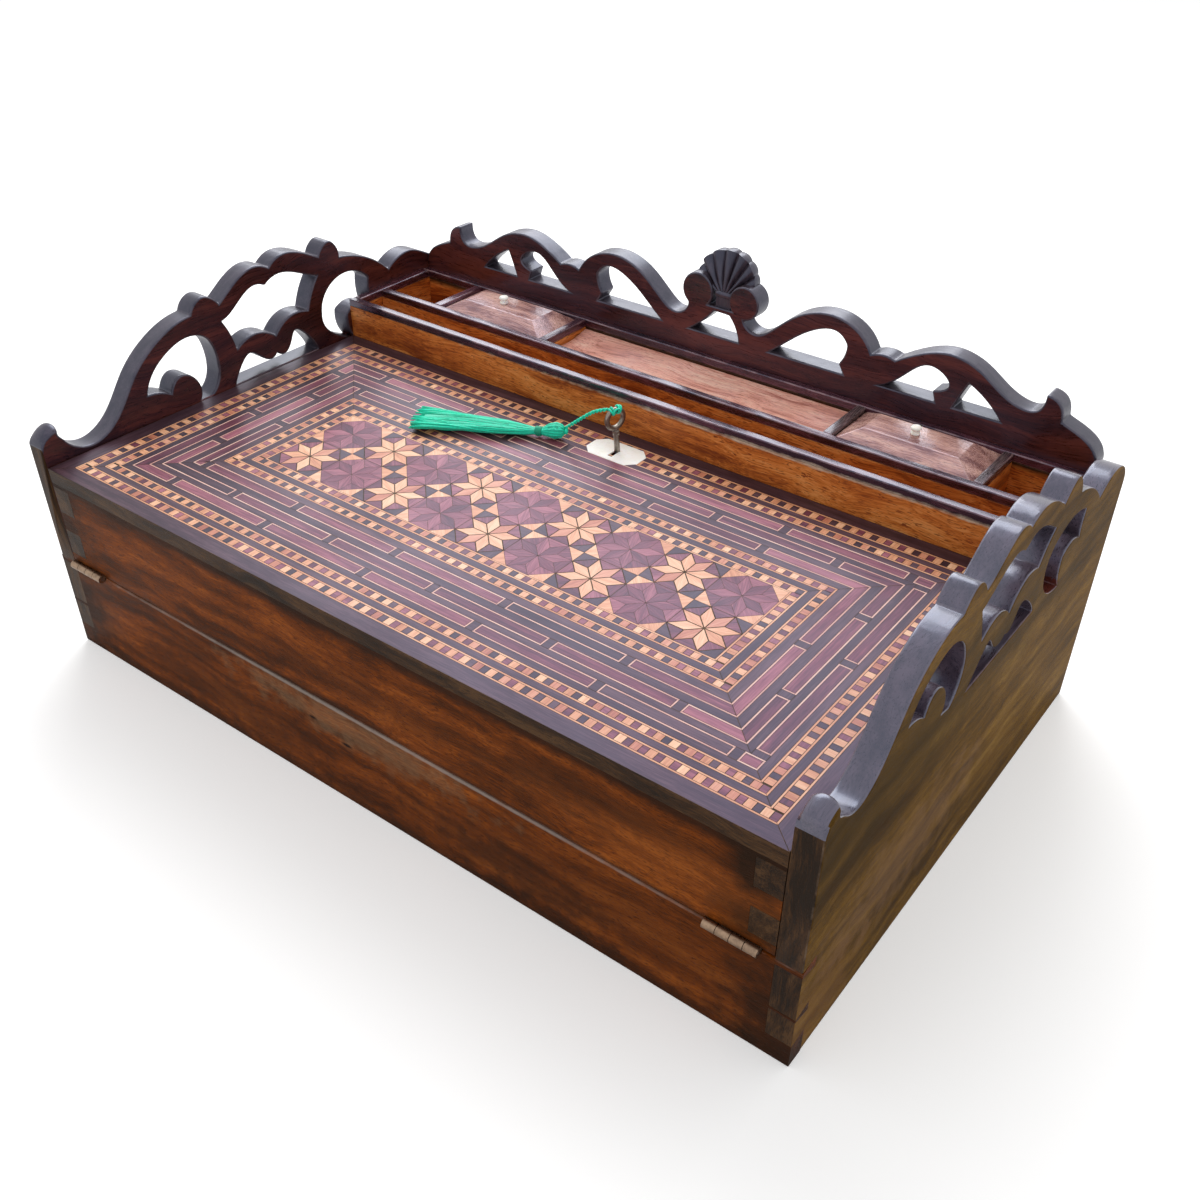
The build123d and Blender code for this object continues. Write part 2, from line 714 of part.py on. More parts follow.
def make_escutcheon():
    """The bone plate round the keyhole: a long octagon let into the veneer."""
    plate = escutcheon_outline(panel_top, lid_top + escutcheon_proud)
    return plate - key_way(panel_top, lid_top + escutcheon_proud)


def escutcheon_outline(z_lo, z_hi):
    """A long octagon between two heights."""
    a, b, c = escutcheon_length / 2, escutcheon_width / 2, escutcheon_corner
    right = [(a - c, -b), (a, c - b), (a, b - c), (a - c, b)]
    corners = right + [(-x, -y) for x, y in right]
    shape = make_face(Polyline(*corners, close=True))
    return extrude(Pos(0, key_y - escutcheon_shift, z_lo) * shape, z_hi - z_lo)


def make_lid_panel():
    """The panel under the parquetry."""
    panel = block(-lid_half, lid_half, front_y, lid_rear_y, panel_bottom, panel_top)
    return panel - key_way(panel_bottom, panel_top)


def make_veneer():
    """The parquetry as one sheet, open round the escutcheon."""
    sheet = block(-lid_half, lid_half, front_y, lid_rear_y, panel_top, lid_top)
    return sheet - escutcheon_outline(panel_top, lid_top)


def lid_front_blank():
    """The lid's front, cut for the lid sides' tails."""
    board = wedge(-lid_half, lid_half, front_y, front_inner_y, lambda y: slope_z(y, half_gap), panel_bottom)
    low = hinge_z + lid_tail_margins[0]
    high = panel_bottom - lid_tail_margins[1]
    spans = ((low, low + lid_tail_heights[0]), (high - lid_tail_heights[1], high))
    for side in (-1, 1):
        ends = sorted((side * lid_inner_half, side * lid_half))
        board -= tails(*ends, front_thickness, spans)
    return board


def make_lid_front_board():
    """The lid's front, rounded along the parting line and let in for the hinges."""
    bottom = slope_z(front_y, half_gap)
    board = lid_front_blank() - rounding(-lid_half, lid_half, bottom, 1)
    for x_lo, x_hi in leaf_sides.values():
        board -= leaf_plate(x_lo, x_hi, 1)
        board -= barrel_relief(x_lo, x_hi)
        board -= leaf_screws(x_lo, x_hi, 1)
    return board


def make_lid_side(side):
    """A wedge-shaped lid side with a ledge above the flap."""
    outer = sorted((side * lid_inner_half, side * lid_half))
    ledge = sorted((side * (lid_inner_half - ledge_width), side * lid_inner_half))
    board = wedge(*outer, front_y, lid_rear_y, lambda y: slope_z(y, half_gap), panel_bottom)
    strip = wedge(*ledge, front_inner_y, lid_rail_y, lambda y: slope_z(y, half_gap + flap_thickness),
                  lambda y: slope_z(y, half_gap + flap_thickness + ledge_width / 2))
    return board + strip - lid_front_blank() - lid_screws()


def lock_block():
    """The lock's outer shape, under the panel and flush with the lid's rear."""
    return block(-lock_width / 2, lock_width / 2, lock_front_y, lid_rear_y, lock_bottom, panel_bottom)


def make_lid_rear_rail():
    """The lid's rear, cut out for the lock."""
    rail = wedge(-lid_inner_half, lid_inner_half, lid_rail_y, lid_rear_y, lambda y: slope_z(y, half_gap),
                 panel_bottom)
    return rail - lock_block()


def make_lock_case():
    """A hollow brass lock with its keyhole above and the bolt's slot behind."""
    inside = block(-lock_width / 2 + lock_plate, lock_width / 2 - lock_plate, lock_front_y + lock_plate,
                   lid_rear_y - lock_plate, lock_bottom + lock_plate, panel_bottom - lock_plate)
    slot = block(-bolt_width / 2 - moving_gap, bolt_width / 2 + moving_gap, lid_rear_y - lock_plate,
                 lid_rear_y, bolt_bottom - moving_gap, bolt_top + moving_gap / 2)
    case = lock_block() - inside - slot
    return case - key_way(panel_bottom - lock_plate, panel_bottom)


def make_bolt():
    """The bolt: a nose in the slot and a tail with the opening that the key's bit works in."""
    tail_x = key_bit_reach + moving_gap + bolt_tail_rim
    back_of_opening = key_bit_reach + bit_sweep_room
    push_face = key_y + bolt_push_offset
    front = key_y - back_of_opening - bolt_tail_rim
    nose_end = lid_rear_y - moving_gap / 2
    nose = block(-bolt_width / 2, bolt_width / 2, push_face, nose_end, bolt_bottom, bolt_top)
    tail = block(-bolt_width / 2, tail_x, front, push_face + bolt_tail_rim, bolt_bottom, bolt_top)
    opening = block(-key_shank_radius - 2 * moving_gap, key_bit_reach + 2 * moving_gap,
                    key_y - back_of_opening, push_face, bolt_bottom, bolt_top)
    half_notch = key_shank_radius + 2 * moving_gap
    notch = block(-half_notch, half_notch, push_face, key_y + half_notch, bolt_bottom, bolt_top)
    return nose + tail - opening - notch


def make_key():
    """The key: a plain shank, a flat bit and a round bow that stands nearly front to back."""
    foot = lock_bottom + lock_plate + moving_gap
    bow_centre = Vector(key_lean[0], key_y + key_lean[1], lid_top + key_bow_height)
    bend = Vector(0, key_y, lid_top + key_lean_start)
    shank = Pos(0, key_y, foot) * Cylinder(key_shank_radius, bend.Z - foot, align=standing)
    shank += Pos(bend) * Sphere(key_shank_radius)
    leaning = (bow_centre - bend).length - key_bow_radius
    upright = Plane(origin=bend, z_dir=bow_centre - bend)
    shank += upright * Cylinder(key_shank_radius, leaning, align=standing)
    bit = block(-key_bit_thickness / 2, key_bit_thickness / 2, key_y - key_bit_reach, key_y,
                foot + moving_gap, bolt_top)
    ring = Rot(0, 0, key_bow_heading) * Rot(90, 0, 0) * Torus(key_bow_radius, key_bow_wire)
    return shank + bit + Pos(bow_centre) * ring


# Tassel ----------------------------------------------------------------------------------------

tassel_z = lid_top + tassel_lift
tassel_head = (tassel_head_place[0], key_y + tassel_head_place[1], tassel_z + tassel_head_radius)


def cord_route():
    """Points of the cord from the top of the bow down to the tassel's head."""
    bow_top = lid_top + key_bow_height + key_bow_radius
    route = [(x, key_y + y, bow_top - below) for x, y, below in cord_stations]
    heading = radians(tassel_heading)
    away = Vector(-cos(heading), -sin(heading), cord_end_climb).normalized()
    end = Vector(*tassel_head) + away * (tassel_head_half_length + cord_end_gap)
    route.append((end.X, end.Y, end.Z))
    return route


def corner_radii(route):
    """One radius for each corner, as large as its two runs allow."""
    radii = []
    for before, corner, after in zip(route, route[1:], route[2:]):
        arriving = Vector(*corner) - Vector(*before)
        leaving = Vector(*after) - Vector(*corner)
        turn = radians(arriving.get_angle(leaving))
        radii.append(cord_slack * min(arriving.length, leaving.length) / tan(turn / 2))
    return radii


def make_cord():
    """The tassel's cord as a plain tube along its route."""
    route = cord_route()
    radii = corner_radii(route)
    path = FilletPolyline(*route, radius=radii)
    start = Plane(origin=path @ 0, z_dir=path % 0)
    tube = sweep(start * Circle(cord_diameter / 2), path=path)
    section = pi * cord_diameter ** 2 / 4
    print("cord radii", [round(radius, 1) for radius in radii], "length", round(path.length, 1),
          "volume ratio", round(tube.volume / (section * path.length), 4))
    return tube


def make_tassel():
    """The tassel lying on the lid: a gathered head, a bound neck and a spreading flat skirt."""
    lay = Pos(*tassel_head) * Rot(0, 0, tassel_heading) * Rot(0, 90, 0)
    drop = tassel_head[2] - tassel_z
    sections = []
    for place, (along, half_wide, half_high) in enumerate(tassel_stations):
        rise = tassel_neck_rise if place < 2 else 0
        sections.append(Pos(drop - half_high - rise, 0, along) * Ellipse(half_high, half_wide))
    skirt = loft([section.face() for section in sections], ruled=True)
    long = tassel_head_half_length / tassel_head_radius
    head = scale(Sphere(tassel_head_radius), by=(1, 1, long))
    return lay * (head + skirt)


# Assembly ---------------------------------------------------------------------------------------

def lid_screws():
    """Screws of the lid's hinge leaves."""
    screws = leaf_screws(*leaf_sides["left"], 1)
    return screws + leaf_screws(*leaf_sides["right"], 1)


def case_screws():
    """Screws of the case's hinge leaves and of the strike plate."""
    screws = leaf_screws(*leaf_sides["left"], -1)
    return screws + leaf_screws(*leaf_sides["right"], -1) + strike_screws()


parts["lower_front_board"] = make_lower_front_board()
parts["side_board_left"] = make_side_board(left_crest, left_piercings, -half_width)
parts["side_board_right"] = make_side_board(right_crest, right_piercings, inner_half)
parts["back_board"] = make_back_board()
parts["shell_crest"] = make_shell_crest()
parts["bottom_board"] = make_bottom_board()
parts["slope_rail_left"] = make_slope_rail(-1)
parts["slope_rail_right"] = make_slope_rail(1)
parts["writing_flap_lower"] = make_flap(tray_front_y, -1)
parts["writing_leather_lower"] = make_leather(tray_front_y, -1)

parts["tray_front_wall"] = make_tray_front_wall() - strike_screws()
parts["strike_plate"] = make_strike_plate()
parts["tray_floor"] = block(-inner_half, inner_half, trough_front_y, back_face_y,
                            tray_floor_top - tray_floor_thickness, tray_floor_top)
parts["tray_long_divider"] = make_tray_wall(-tray_half, tray_half, divider_front_y, well_front_y)
parts["tray_back_strip"] = make_tray_wall(-tray_half, tray_half, well_rear_y, back_face_y)
parts["tray_end_wall_left"] = make_tray_wall(-inner_half, -tray_half, trough_front_y, back_face_y)
parts["tray_end_wall_right"] = make_tray_wall(tray_half, inner_half, trough_front_y, back_face_y)

lip = cap_overhang
parts["cap_front"] = make_cap(-inner_half, inner_half, tray_front_y - lip, trough_front_y + lip)
parts["cap_back"] = make_cap(-inner_half, inner_half, well_rear_y - lip, back_face_y)
parts["cap_end_left"] = make_cap(-inner_half, -tray_half + lip, trough_front_y + lip, well_rear_y - lip)
parts["cap_end_right"] = make_cap(tray_half - lip, inner_half, trough_front_y + lip, well_rear_y - lip)
parts["cap_divider"] = make_cap(-tray_half + lip, tray_half - lip, divider_front_y - lip,
                                well_front_y + lip)
for number, x_start in enumerate(divider_starts, 1):
    x_end = x_start + divider_thickness
    parts[f"cross_divider_{number}"] = make_tray_wall(x_start, x_end, well_front_y, well_rear_y)
    parts[f"cap_cross_{number}"] = make_cap(x_start - lip, x_end + lip, well_front_y + lip, well_rear_y - lip)

lid_seat_drop = well_lid_rim_drop + well_lid_rim_thickness + seat_gap
for side_name, span in well_spans.items():
    parts[f"well_lining_{side_name}"] = make_lining(span, lid_seat_drop)
    parts[f"well_lid_{side_name}"] = make_well_lid(span)
    shift = knob_shift_left if side_name == "left" else knob_shift_right
    parts[f"knob_{side_name}"] = make_knob(span, shift)
parts["pen_tray_lining"] = make_lining(pen_span, pen_tray_drop + pen_tray_thickness + seat_gap)
parts["pen_tray"] = make_pen_tray()

parts["lid_panel"] = make_lid_panel()
parts["parquetry_veneer"] = make_veneer()
parts["escutcheon"] = make_escutcheon()
parts["lid_front_board"] = make_lid_front_board()
parts["lid_side_left"] = make_lid_side(-1)
parts["lid_side_right"] = make_lid_side(1)
parts["lid_rear_rail"] = make_lid_rear_rail()
parts["writing_flap_upper"] = make_flap(lid_rail_y, 1)
parts["writing_leather_upper"] = make_leather(lid_rail_y, 1)
parts["lock_case"] = make_lock_case()
parts["lock_bolt"] = make_bolt()
parts["key"] = make_key()
parts["tassel_cord"] = make_cord()
parts["tassel"] = make_tassel()

for side_name, (x_lo, x_hi) in leaf_sides.items():
    parts[f"hinge_leaf_case_{side_name}"] = make_leaf(x_lo, x_hi, -1)
    parts[f"hinge_leaf_lid_{side_name}"] = make_leaf(x_lo, x_hi, 1)
    parts[f"hinge_pin_{side_name}"] = make_hinge_pin(x_lo, x_hi)
parts["case_screws"] = case_screws()
parts["lid_screws"] = lid_screws()

os.makedirs("parts", exist_ok=True)
for name, solid in parts.items():
    export_step(solid, f"parts/{name}.step")
print(len(parts), "parts; hinge axis y, z", round(hinge_y, 3), round(hinge_z, 3), "; key y", round(key_y, 3),
      "; slope", round(degrees(slope), 3))
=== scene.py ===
import bpy
import bmesh
import json
import math
import numpy as np
from mathutils import Matrix, Vector


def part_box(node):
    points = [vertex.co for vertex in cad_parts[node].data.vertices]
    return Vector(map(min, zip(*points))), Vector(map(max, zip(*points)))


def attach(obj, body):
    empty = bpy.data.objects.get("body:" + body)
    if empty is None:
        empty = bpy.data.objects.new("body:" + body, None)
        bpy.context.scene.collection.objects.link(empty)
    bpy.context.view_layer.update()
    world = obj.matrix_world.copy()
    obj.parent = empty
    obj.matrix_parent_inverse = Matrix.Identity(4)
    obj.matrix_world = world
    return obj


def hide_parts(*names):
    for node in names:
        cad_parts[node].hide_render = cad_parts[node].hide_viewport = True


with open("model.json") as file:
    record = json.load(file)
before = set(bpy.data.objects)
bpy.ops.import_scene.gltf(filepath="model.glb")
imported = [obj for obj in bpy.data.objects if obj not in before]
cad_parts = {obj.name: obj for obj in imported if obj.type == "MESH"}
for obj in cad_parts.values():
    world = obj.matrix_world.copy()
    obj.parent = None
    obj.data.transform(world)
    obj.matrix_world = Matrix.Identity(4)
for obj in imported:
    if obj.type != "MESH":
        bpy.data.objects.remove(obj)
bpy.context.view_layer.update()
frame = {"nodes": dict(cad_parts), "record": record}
bodyOf = {node: body for body, members in frame["record"]["behaviour"]["bodies"].items() for node in members}
mm = 0.001
quarterTurn = math.pi / 2
upwards = np.array([0, 0, 1.0])


def addObject(name, data):
    made = bpy.data.objects.new(name, data)
    bpy.context.scene.collection.objects.link(made)
    return made


cameraSettings = {
    "place": (0.34274, -0.42430, 0.43175), "lens": 37.315, "sensor": 36,
    "heading": -36.291, "dip": 37.382, "roll": 0.885,  # degrees from +Y towards +X, down, and about the view
    "shift": (-0.00626, 0.03826), "clip": (0.01, 50),
}


def makeCamera():
    # looks along (sin a cos e, cos a cos e, -sin e), for heading a and dip e, and is rolled about that line
    look = cameraSettings
    a, e, r = (math.radians(look[key]) for key in ("heading", "dip", "roll"))
    forward = Vector((math.sin(a) * math.cos(e), math.cos(a) * math.cos(e), -math.sin(e)))
    level = Vector((math.cos(a), -math.sin(a), 0))
    upright = level.cross(forward)
    right = math.cos(r) * level + math.sin(r) * upright
    top = math.cos(r) * upright - math.sin(r) * level
    data = bpy.data.cameras.new("boxCamera")
    data.sensor_width, data.lens = look["sensor"], look["lens"]
    data.shift_x, data.shift_y = look["shift"]
    data.clip_start, data.clip_end = look["clip"]
    camera = addObject("boxCamera", data)
    turn = Matrix((right, top, -forward)).transposed().to_4x4()
    camera.matrix_world = Matrix.Translation(look["place"]) @ turn
    bpy.context.scene.camera = camera


makeCamera()
print("camera placed")


def linearColour(code):
    # sRGB hex to linear red, green, blue and full alpha
    parts = [int(code[k:k + 2], 16) / 255 for k in (1, 3, 5)]
    return tuple(c / 12.92 if c <= 0.04045 else ((c + 0.055) / 1.055) ** 2.4 for c in parts) + (1.0,)


def addNode(tree, kind, inputs=(), out=0, stops=(), **settings):
    # one node with its settings, a ramp's stops and its inputs, by name or in order: a number, a hex
    # colour or a link; gives its output out
    node = tree.nodes.new("ShaderNode" + kind)
    for key, value in settings.items():
        setattr(node, key, value)
    for key, value in inputs.items() if isinstance(inputs, dict) else enumerate(inputs):
        if isinstance(value, bpy.types.NodeSocket):
            tree.links.new(value, node.inputs[key])
        else:
            node.inputs[key].default_value = linearColour(value) if isinstance(value, str) else value
    if stops:
        elements = node.color_ramp.elements
        for element, (place, code) in ((elements[0], stops[0]), (elements[1], stops[-1])):
            element.position, element.color = place, linearColour(code)
        for place, code in stops[1:-1]:
            elements.new(place).color = linearColour(code)
    return node.outputs[out] if node.outputs else None


def emptyTree(owner):
    # clears the nodes of a material or world, and gives addNode tied to its tree
    owner.use_nodes = True
    owner.node_tree.nodes.clear()
    return lambda kind, *given, **settings: addNode(owner.node_tree, kind, *given, **settings)


def newMaterial(name):
    material = bpy.data.materials.new(name)
    return material, emptyTree(material)


def closeMaterial(material, finish):
    # the Principled shader, with the finish's own numbers and links
    addNode(material.node_tree, "OutputMaterial", (addNode(material.node_tree, "BsdfPrincipled", finish),))
    return material


grainTurns = {"x": (0, 0, 0), "y": (0, 0, quarterTurn), "z": (0, -quarterTurn, 0)}


def stretchedNoise(add, coords, axis, size, detail=3.0, roughness=0.55):
    # noise whose marks are size[0] mm along the grain and size[1] mm across it; the grain lies along axis
    scale = (size[0] * mm, size[1] * mm, size[1] * mm)
    place = add("Mapping", {"Vector": coords, "Rotation": grainTurns[axis], "Scale": scale},
                vector_type="TEXTURE")
    return add("TexNoise", {"Vector": place, "Scale": 1.0, "Detail": detail, "Roughness": roughness})


# Polished solid woods. stops: the colours under the varnish, from the darkest streaks to the palest; for
# the gallery tops, the well lids and the pen tray they hold painted light as well. grain: sizes in mm, along
# and across, of figure, fibre, cloud, pore (and how dark) and check (and how dark). worn: colour and share
# of the paler arrises, worn, and on the caps a painted highlight too. gloss: roughness, specular level and
# its tint. coat: weight, roughness and IOR. dents: strength of the relief.
woods = {
    "galleryRosewood": {  # French-polished rosewood: nearly black red-brown, satin
        "stops": ((0.15, "#270b09"), (0.5, "#421a14"), (0.85, "#5e2b20")),
        "grain": ((150, 7), (22, 0.8), (90, 30), (5, 0.45, 0.3), (6, 1, 0.08)),
        "worn": ("#8a6a60", 0.35), "gloss": (0.3, 0.65, "#c8d4ff"), "coat": (0.15, 0.2, 1.6), "dents": 0.15,
    },
    "paintedSheenRosewood": {  # the right gallery's sawn tops: a pale slate grey painted sheen over the rosewood, with a heavy coat
        "stops": ((0.15, "#33282f"), (0.5, "#443840"), (0.85, "#564852")),
        "grain": ((60, 6), (16, 0.8), (60, 20), (4, 0.45, 0.2), (5, 1, 0.04)),
        "worn": ("#7a6e74", 0.3), "gloss": (0.3, 1.0, "#bcd0ff"), "coat": (0.55, 0.2, 1.7), "dents": 0.12,
    },
    "paintedShadeRosewood": {  # the tops on the left and at the back, and the shell: painted shade, a darker and duller copy of the painted sheen
        "stops": ((0.15, "#261c21"), (0.5, "#342a30"), (0.85, "#453a41")),
        "grain": ((60, 6), (16, 0.8), (60, 20), (4, 0.45, 0.2), (5, 1, 0.04)),
        "worn": ("#6a5f64", 0.3), "gloss": (0.36, 0.7, "#bcd0ff"), "coat": (0.25, 0.25, 1.6), "dents": 0.12,
    },
    "frontWalnut": {  # oiled and waxed walnut: warm red-brown with soft dark figure
        "stops": ((0.1, "#3f1c06"), (0.4, "#602d08"), (0.62, "#77390d"), (0.95, "#96501a")),
        "grain": ((70, 8), (9, 0.7), (90, 26), (3, 0.45, 0.7), (3, 1, 0.5)),
        "worn": ("#8a6c50", 0.3), "gloss": (0.48, 0.08, "#ffd4a8"),
    },
    "sideWalnut": {  # the outer faces: the same walnut, polished and paler, with an olive cast that is a painted reflection of green surroundings
        "stops": ((0.1, "#3c270b"), (0.45, "#5e4217"), (0.7, "#745320"), (0.95, "#8b6a31")),
        "grain": ((160, 10), (16, 0.6), (130, 40), (3.5, 0.4, 0.5), (4, 1, 0.25)),
        "worn": ("#6b5138", 0.4), "gloss": (0.52, 0.03, "#ffe2b0"),
    },
    "edgeWalnut": {  # cut edges that have gone dark with handling
        "stops": ((0.2, "#1d1109"), (0.5, "#382312"), (0.8, "#523820")),
        "grain": ((60, 5), (10, 0.7), (50, 14), (2.5, 0.45, 0.6), (3, 1, 0.5)),
        "worn": ("#7a6450", 0.5), "gloss": (0.42, 0.15, "#ffe9d2"),
    },
    "trayMahogany": {  # varnished mahogany: orange-brown with short dark checks
        "stops": ((0.1, "#7c3814"), (0.42, "#b96327"), (0.66, "#d47d38"), (0.9, "#e59853")),
        "grain": ((140, 6), (16, 0.7), (60, 14), (5, 0.6, 0.8), (5, 1.8, 0.95)),
        "worn": ("#6e3e1e", 0.4), "gloss": (0.36, 0.35, "#fff0e0"),
    },
    "capRosewood": {  # polished rosewood lipping: dark plum with a lilac shine; its pale arrises are a painted highlight over some wear
        "stops": ((0.2, "#200c10"), (0.5, "#3a1a20"), (0.8, "#5a3038")),
        "grain": ((120, 4), (20, 0.6), (80, 20), (5, 0.4, 0.35), (6, 0.8, 0.2)),
        "worn": ("#a88684", 0.55), "gloss": (0.24, 0.85, "#d2d6ff"), "coat": (0.25, 0.15, 1.6), "dents": 0.12,
    },
    "wellLidWalnut": {  # polished walnut with a rosy patina and a lilac shine, made paler as painted light on these tops
        "stops": ((0.15, "#7d5048"), (0.5, "#bd8c80"), (0.85, "#e2b4a2")),
        "grain": ((40, 7), (14, 0.6), (40, 12), (3, 0.4, 0.6), (3, 0.9, 0.35)),
        "worn": ("#c8a69a", 0.3), "gloss": (0.26, 1.0, "#cfd4ff"), "coat": (0.3, 0.2, 1.6),
    },
    "penTrayCedar": {  # waxed cedar: pinkish tan, straight and fine, made paler as painted light falling into its recess
        "stops": ((0.15, "#b8705e"), (0.5, "#f0ac96"), (0.85, "#fcd2bc")),
        "grain": ((160, 4), (20, 0.6), (90, 12), (4, 0.45, 0.65), (5, 1.2, 0.35)),
        "worn": ("#e0bfae", 0.5), "gloss": (0.28, 1.0, "#dcdcff"),
    },
    "carcassPine": {  # stained softwood inside the box: plain brown, dull
        "stops": ((0.2, "#4a2c18"), (0.5, "#6d4526"), (0.8, "#84593a")),
        "grain": ((200, 10), (30, 0.9), (100, 30), (6, 0.5, 0.35), (5, 1, 0.2)),
        "worn": ("#7d6048", 0.3), "gloss": (0.55, 0.3, "#ffffff"),
    },
}

# Marks, each an ellipsoid: its middle and reach in metres, its colour, how much of it covers at the
# middle, and how far it is broken up. Most are stains, wear and figure; painted shade and a painted
# highlight are named where they stand.
marksOf = {
    "outerSide": (
        # darker along the top of the outer face, paler in patches lower down
        ((0, -0.1, 0.125), (9, 0.3, 0.045), "#38290a", 0.6, 0.6),
        ((0, -0.06, 0.05), (9, 0.09, 0.03), "#8c6c52", 0.4, 0.9),
        ((0, -0.13, 0.02), (9, 0.05, 0.03), "#7a5636", 0.5, 0.7),
    ),
    "frontCap": (  # painted shade in the gap under the cap, and a pale splintered line over its right part
        ((0, 0.0677, 0.1342), (9, 0.003, 0.0012), "#120806", 0.9, 0.4),
        ((0.1, 0.0677, 0.1336), (0.2, 0.003, 0.0013), "#cfc0aa", 1.0, 1.1),
    ),
    "frontWall": (((0.1, 0.0678, 0.1333), (0.2, 0.003, 0.0012), "#cfc0aa", 1.0, 1.1),),
    "splinters": (((0, 0.1, 0.139), (9, 9, 0.005), "#85776c", 0.38, 1.5),),
    # the back strip nearly black along its top, next to the back board
    "backStrip": (((0, 0.133, 0.1345), (9, 9, 0.005), "#1c100a", 1.0, 0.1),),
    "lidFront": (
        ((0.0, -0.146, 0.078), (0.11, 0.1, 0.01), "#2e180a", 0.4, 0.9),
        ((0.17, -0.146, 0.08), (0.1, 0.1, 0.02), "#8a4c20", 0.35, 0.8),
        ((0.13, -0.146, 0.09), (0.06, 0.1, 0.012), "#2b1409", 0.5, 0.9),
        ((0, -0.146, 0.1075), (9, 9, 0.0065), "#1f110a", 0.9, 0.4),  # the lid's dark edge
        ((-0.222, -0.146, 0.09), (0.034, 0.1, 0.05), "#1c100a", 0.9, 0.5),  # left dovetails
        ((0.206, -0.146, 0.098), (0.02, 0.1, 0.02), "#23150c", 1.0, 0.35),  # right dovetails
        ((0.212, -0.146, 0.068), (0.028, 0.1, 0.02), "#2a1a0e", 0.8, 0.6),
        # darker along the lid's lower edge, over the parting
        ((0.02, -0.146, 0.0585), (9, 9, 0.0035), "#24140b", 0.6, 0.5),
    ),
    "lowerFront": (
        ((0.13, -0.146, 0.03), (0.14, 0.1, 0.034), "#3c1d0b", 0.5, 0.7),
        ((-0.1, -0.146, 0.022), (0.08, 0.1, 0.018), "#2a170c", 0.55, 0.9),
        ((0.09, -0.146, 0.02), (0.07, 0.1, 0.016), "#2a170c", 0.6, 0.9),
        ((-0.01, -0.146, 0.05), (0.095, 0.1, 0.014), "#8f7458", 0.45, 1.0),  # worn pale
        ((-0.035, -0.146, 0.044), (0.0035, 0.1, 0.0012), "#150b06", 1.0, 0.2),  # two small dents
        ((-0.013, -0.146, 0.038), (0.0045, 0.1, 0.0014), "#150b06", 1.0, 0.2),
        ((-0.225, -0.146, 0.03), (0.04, 0.1, 0.06), "#1c100a", 0.9, 0.5),  # left dovetails
        ((0.222, -0.146, 0.02), (0.034, 0.1, 0.05), "#20130b", 0.9, 0.5),  # right dovetails
        # darker along the bottom
        ((0, -0.146, -0.003), (9, 9, 0.014), "#24140b", 0.8, 0.6),
        ((0, -0.1457, 0.0574), (0.24, 9, 0.0013), "#9a8f88", 0.8, 0.35),  # a painted highlight along the upper arris, over pale wear
    ),
}
# What all woods share: pairs are levels of noise at which something starts and is full
grainPattern = {
    "wanderScale": 14.0, "wander": 0.02,  # the grain wanders by up to 10 mm over some 70 mm
    "shares": (0.4, 0.3, 0.3), "tone": (0.38, 0.62),  # shares of figure, cloud and fibre in the tone
    "pores": (0.58, 0.66), "checks": (0.64, 0.68),
    "patchScale": 90.0, "wearAndHighlight": (0.4, 0.6), "fibreRange": (0.3, 0.7), "duller": (-0.06, 0.1),
    "ragged": 2.4, "markEdge": (0.35, 1.0), "threads": (0.35, 0.65),  # how marks of age break up
    "dentDepth": -1.2, "relief": 0.00015,
}
madeWoods = {}


def wood(name, axis, marks=None):
    # each wood is made once for each direction of its grain or set of marks
    key = name + "_" + (marks or axis)
    if key not in madeWoods:
        madeWoods[key] = makeWood(key, woods[name], axis, marksOf.get(marks, ()))
    return madeWoods[key]


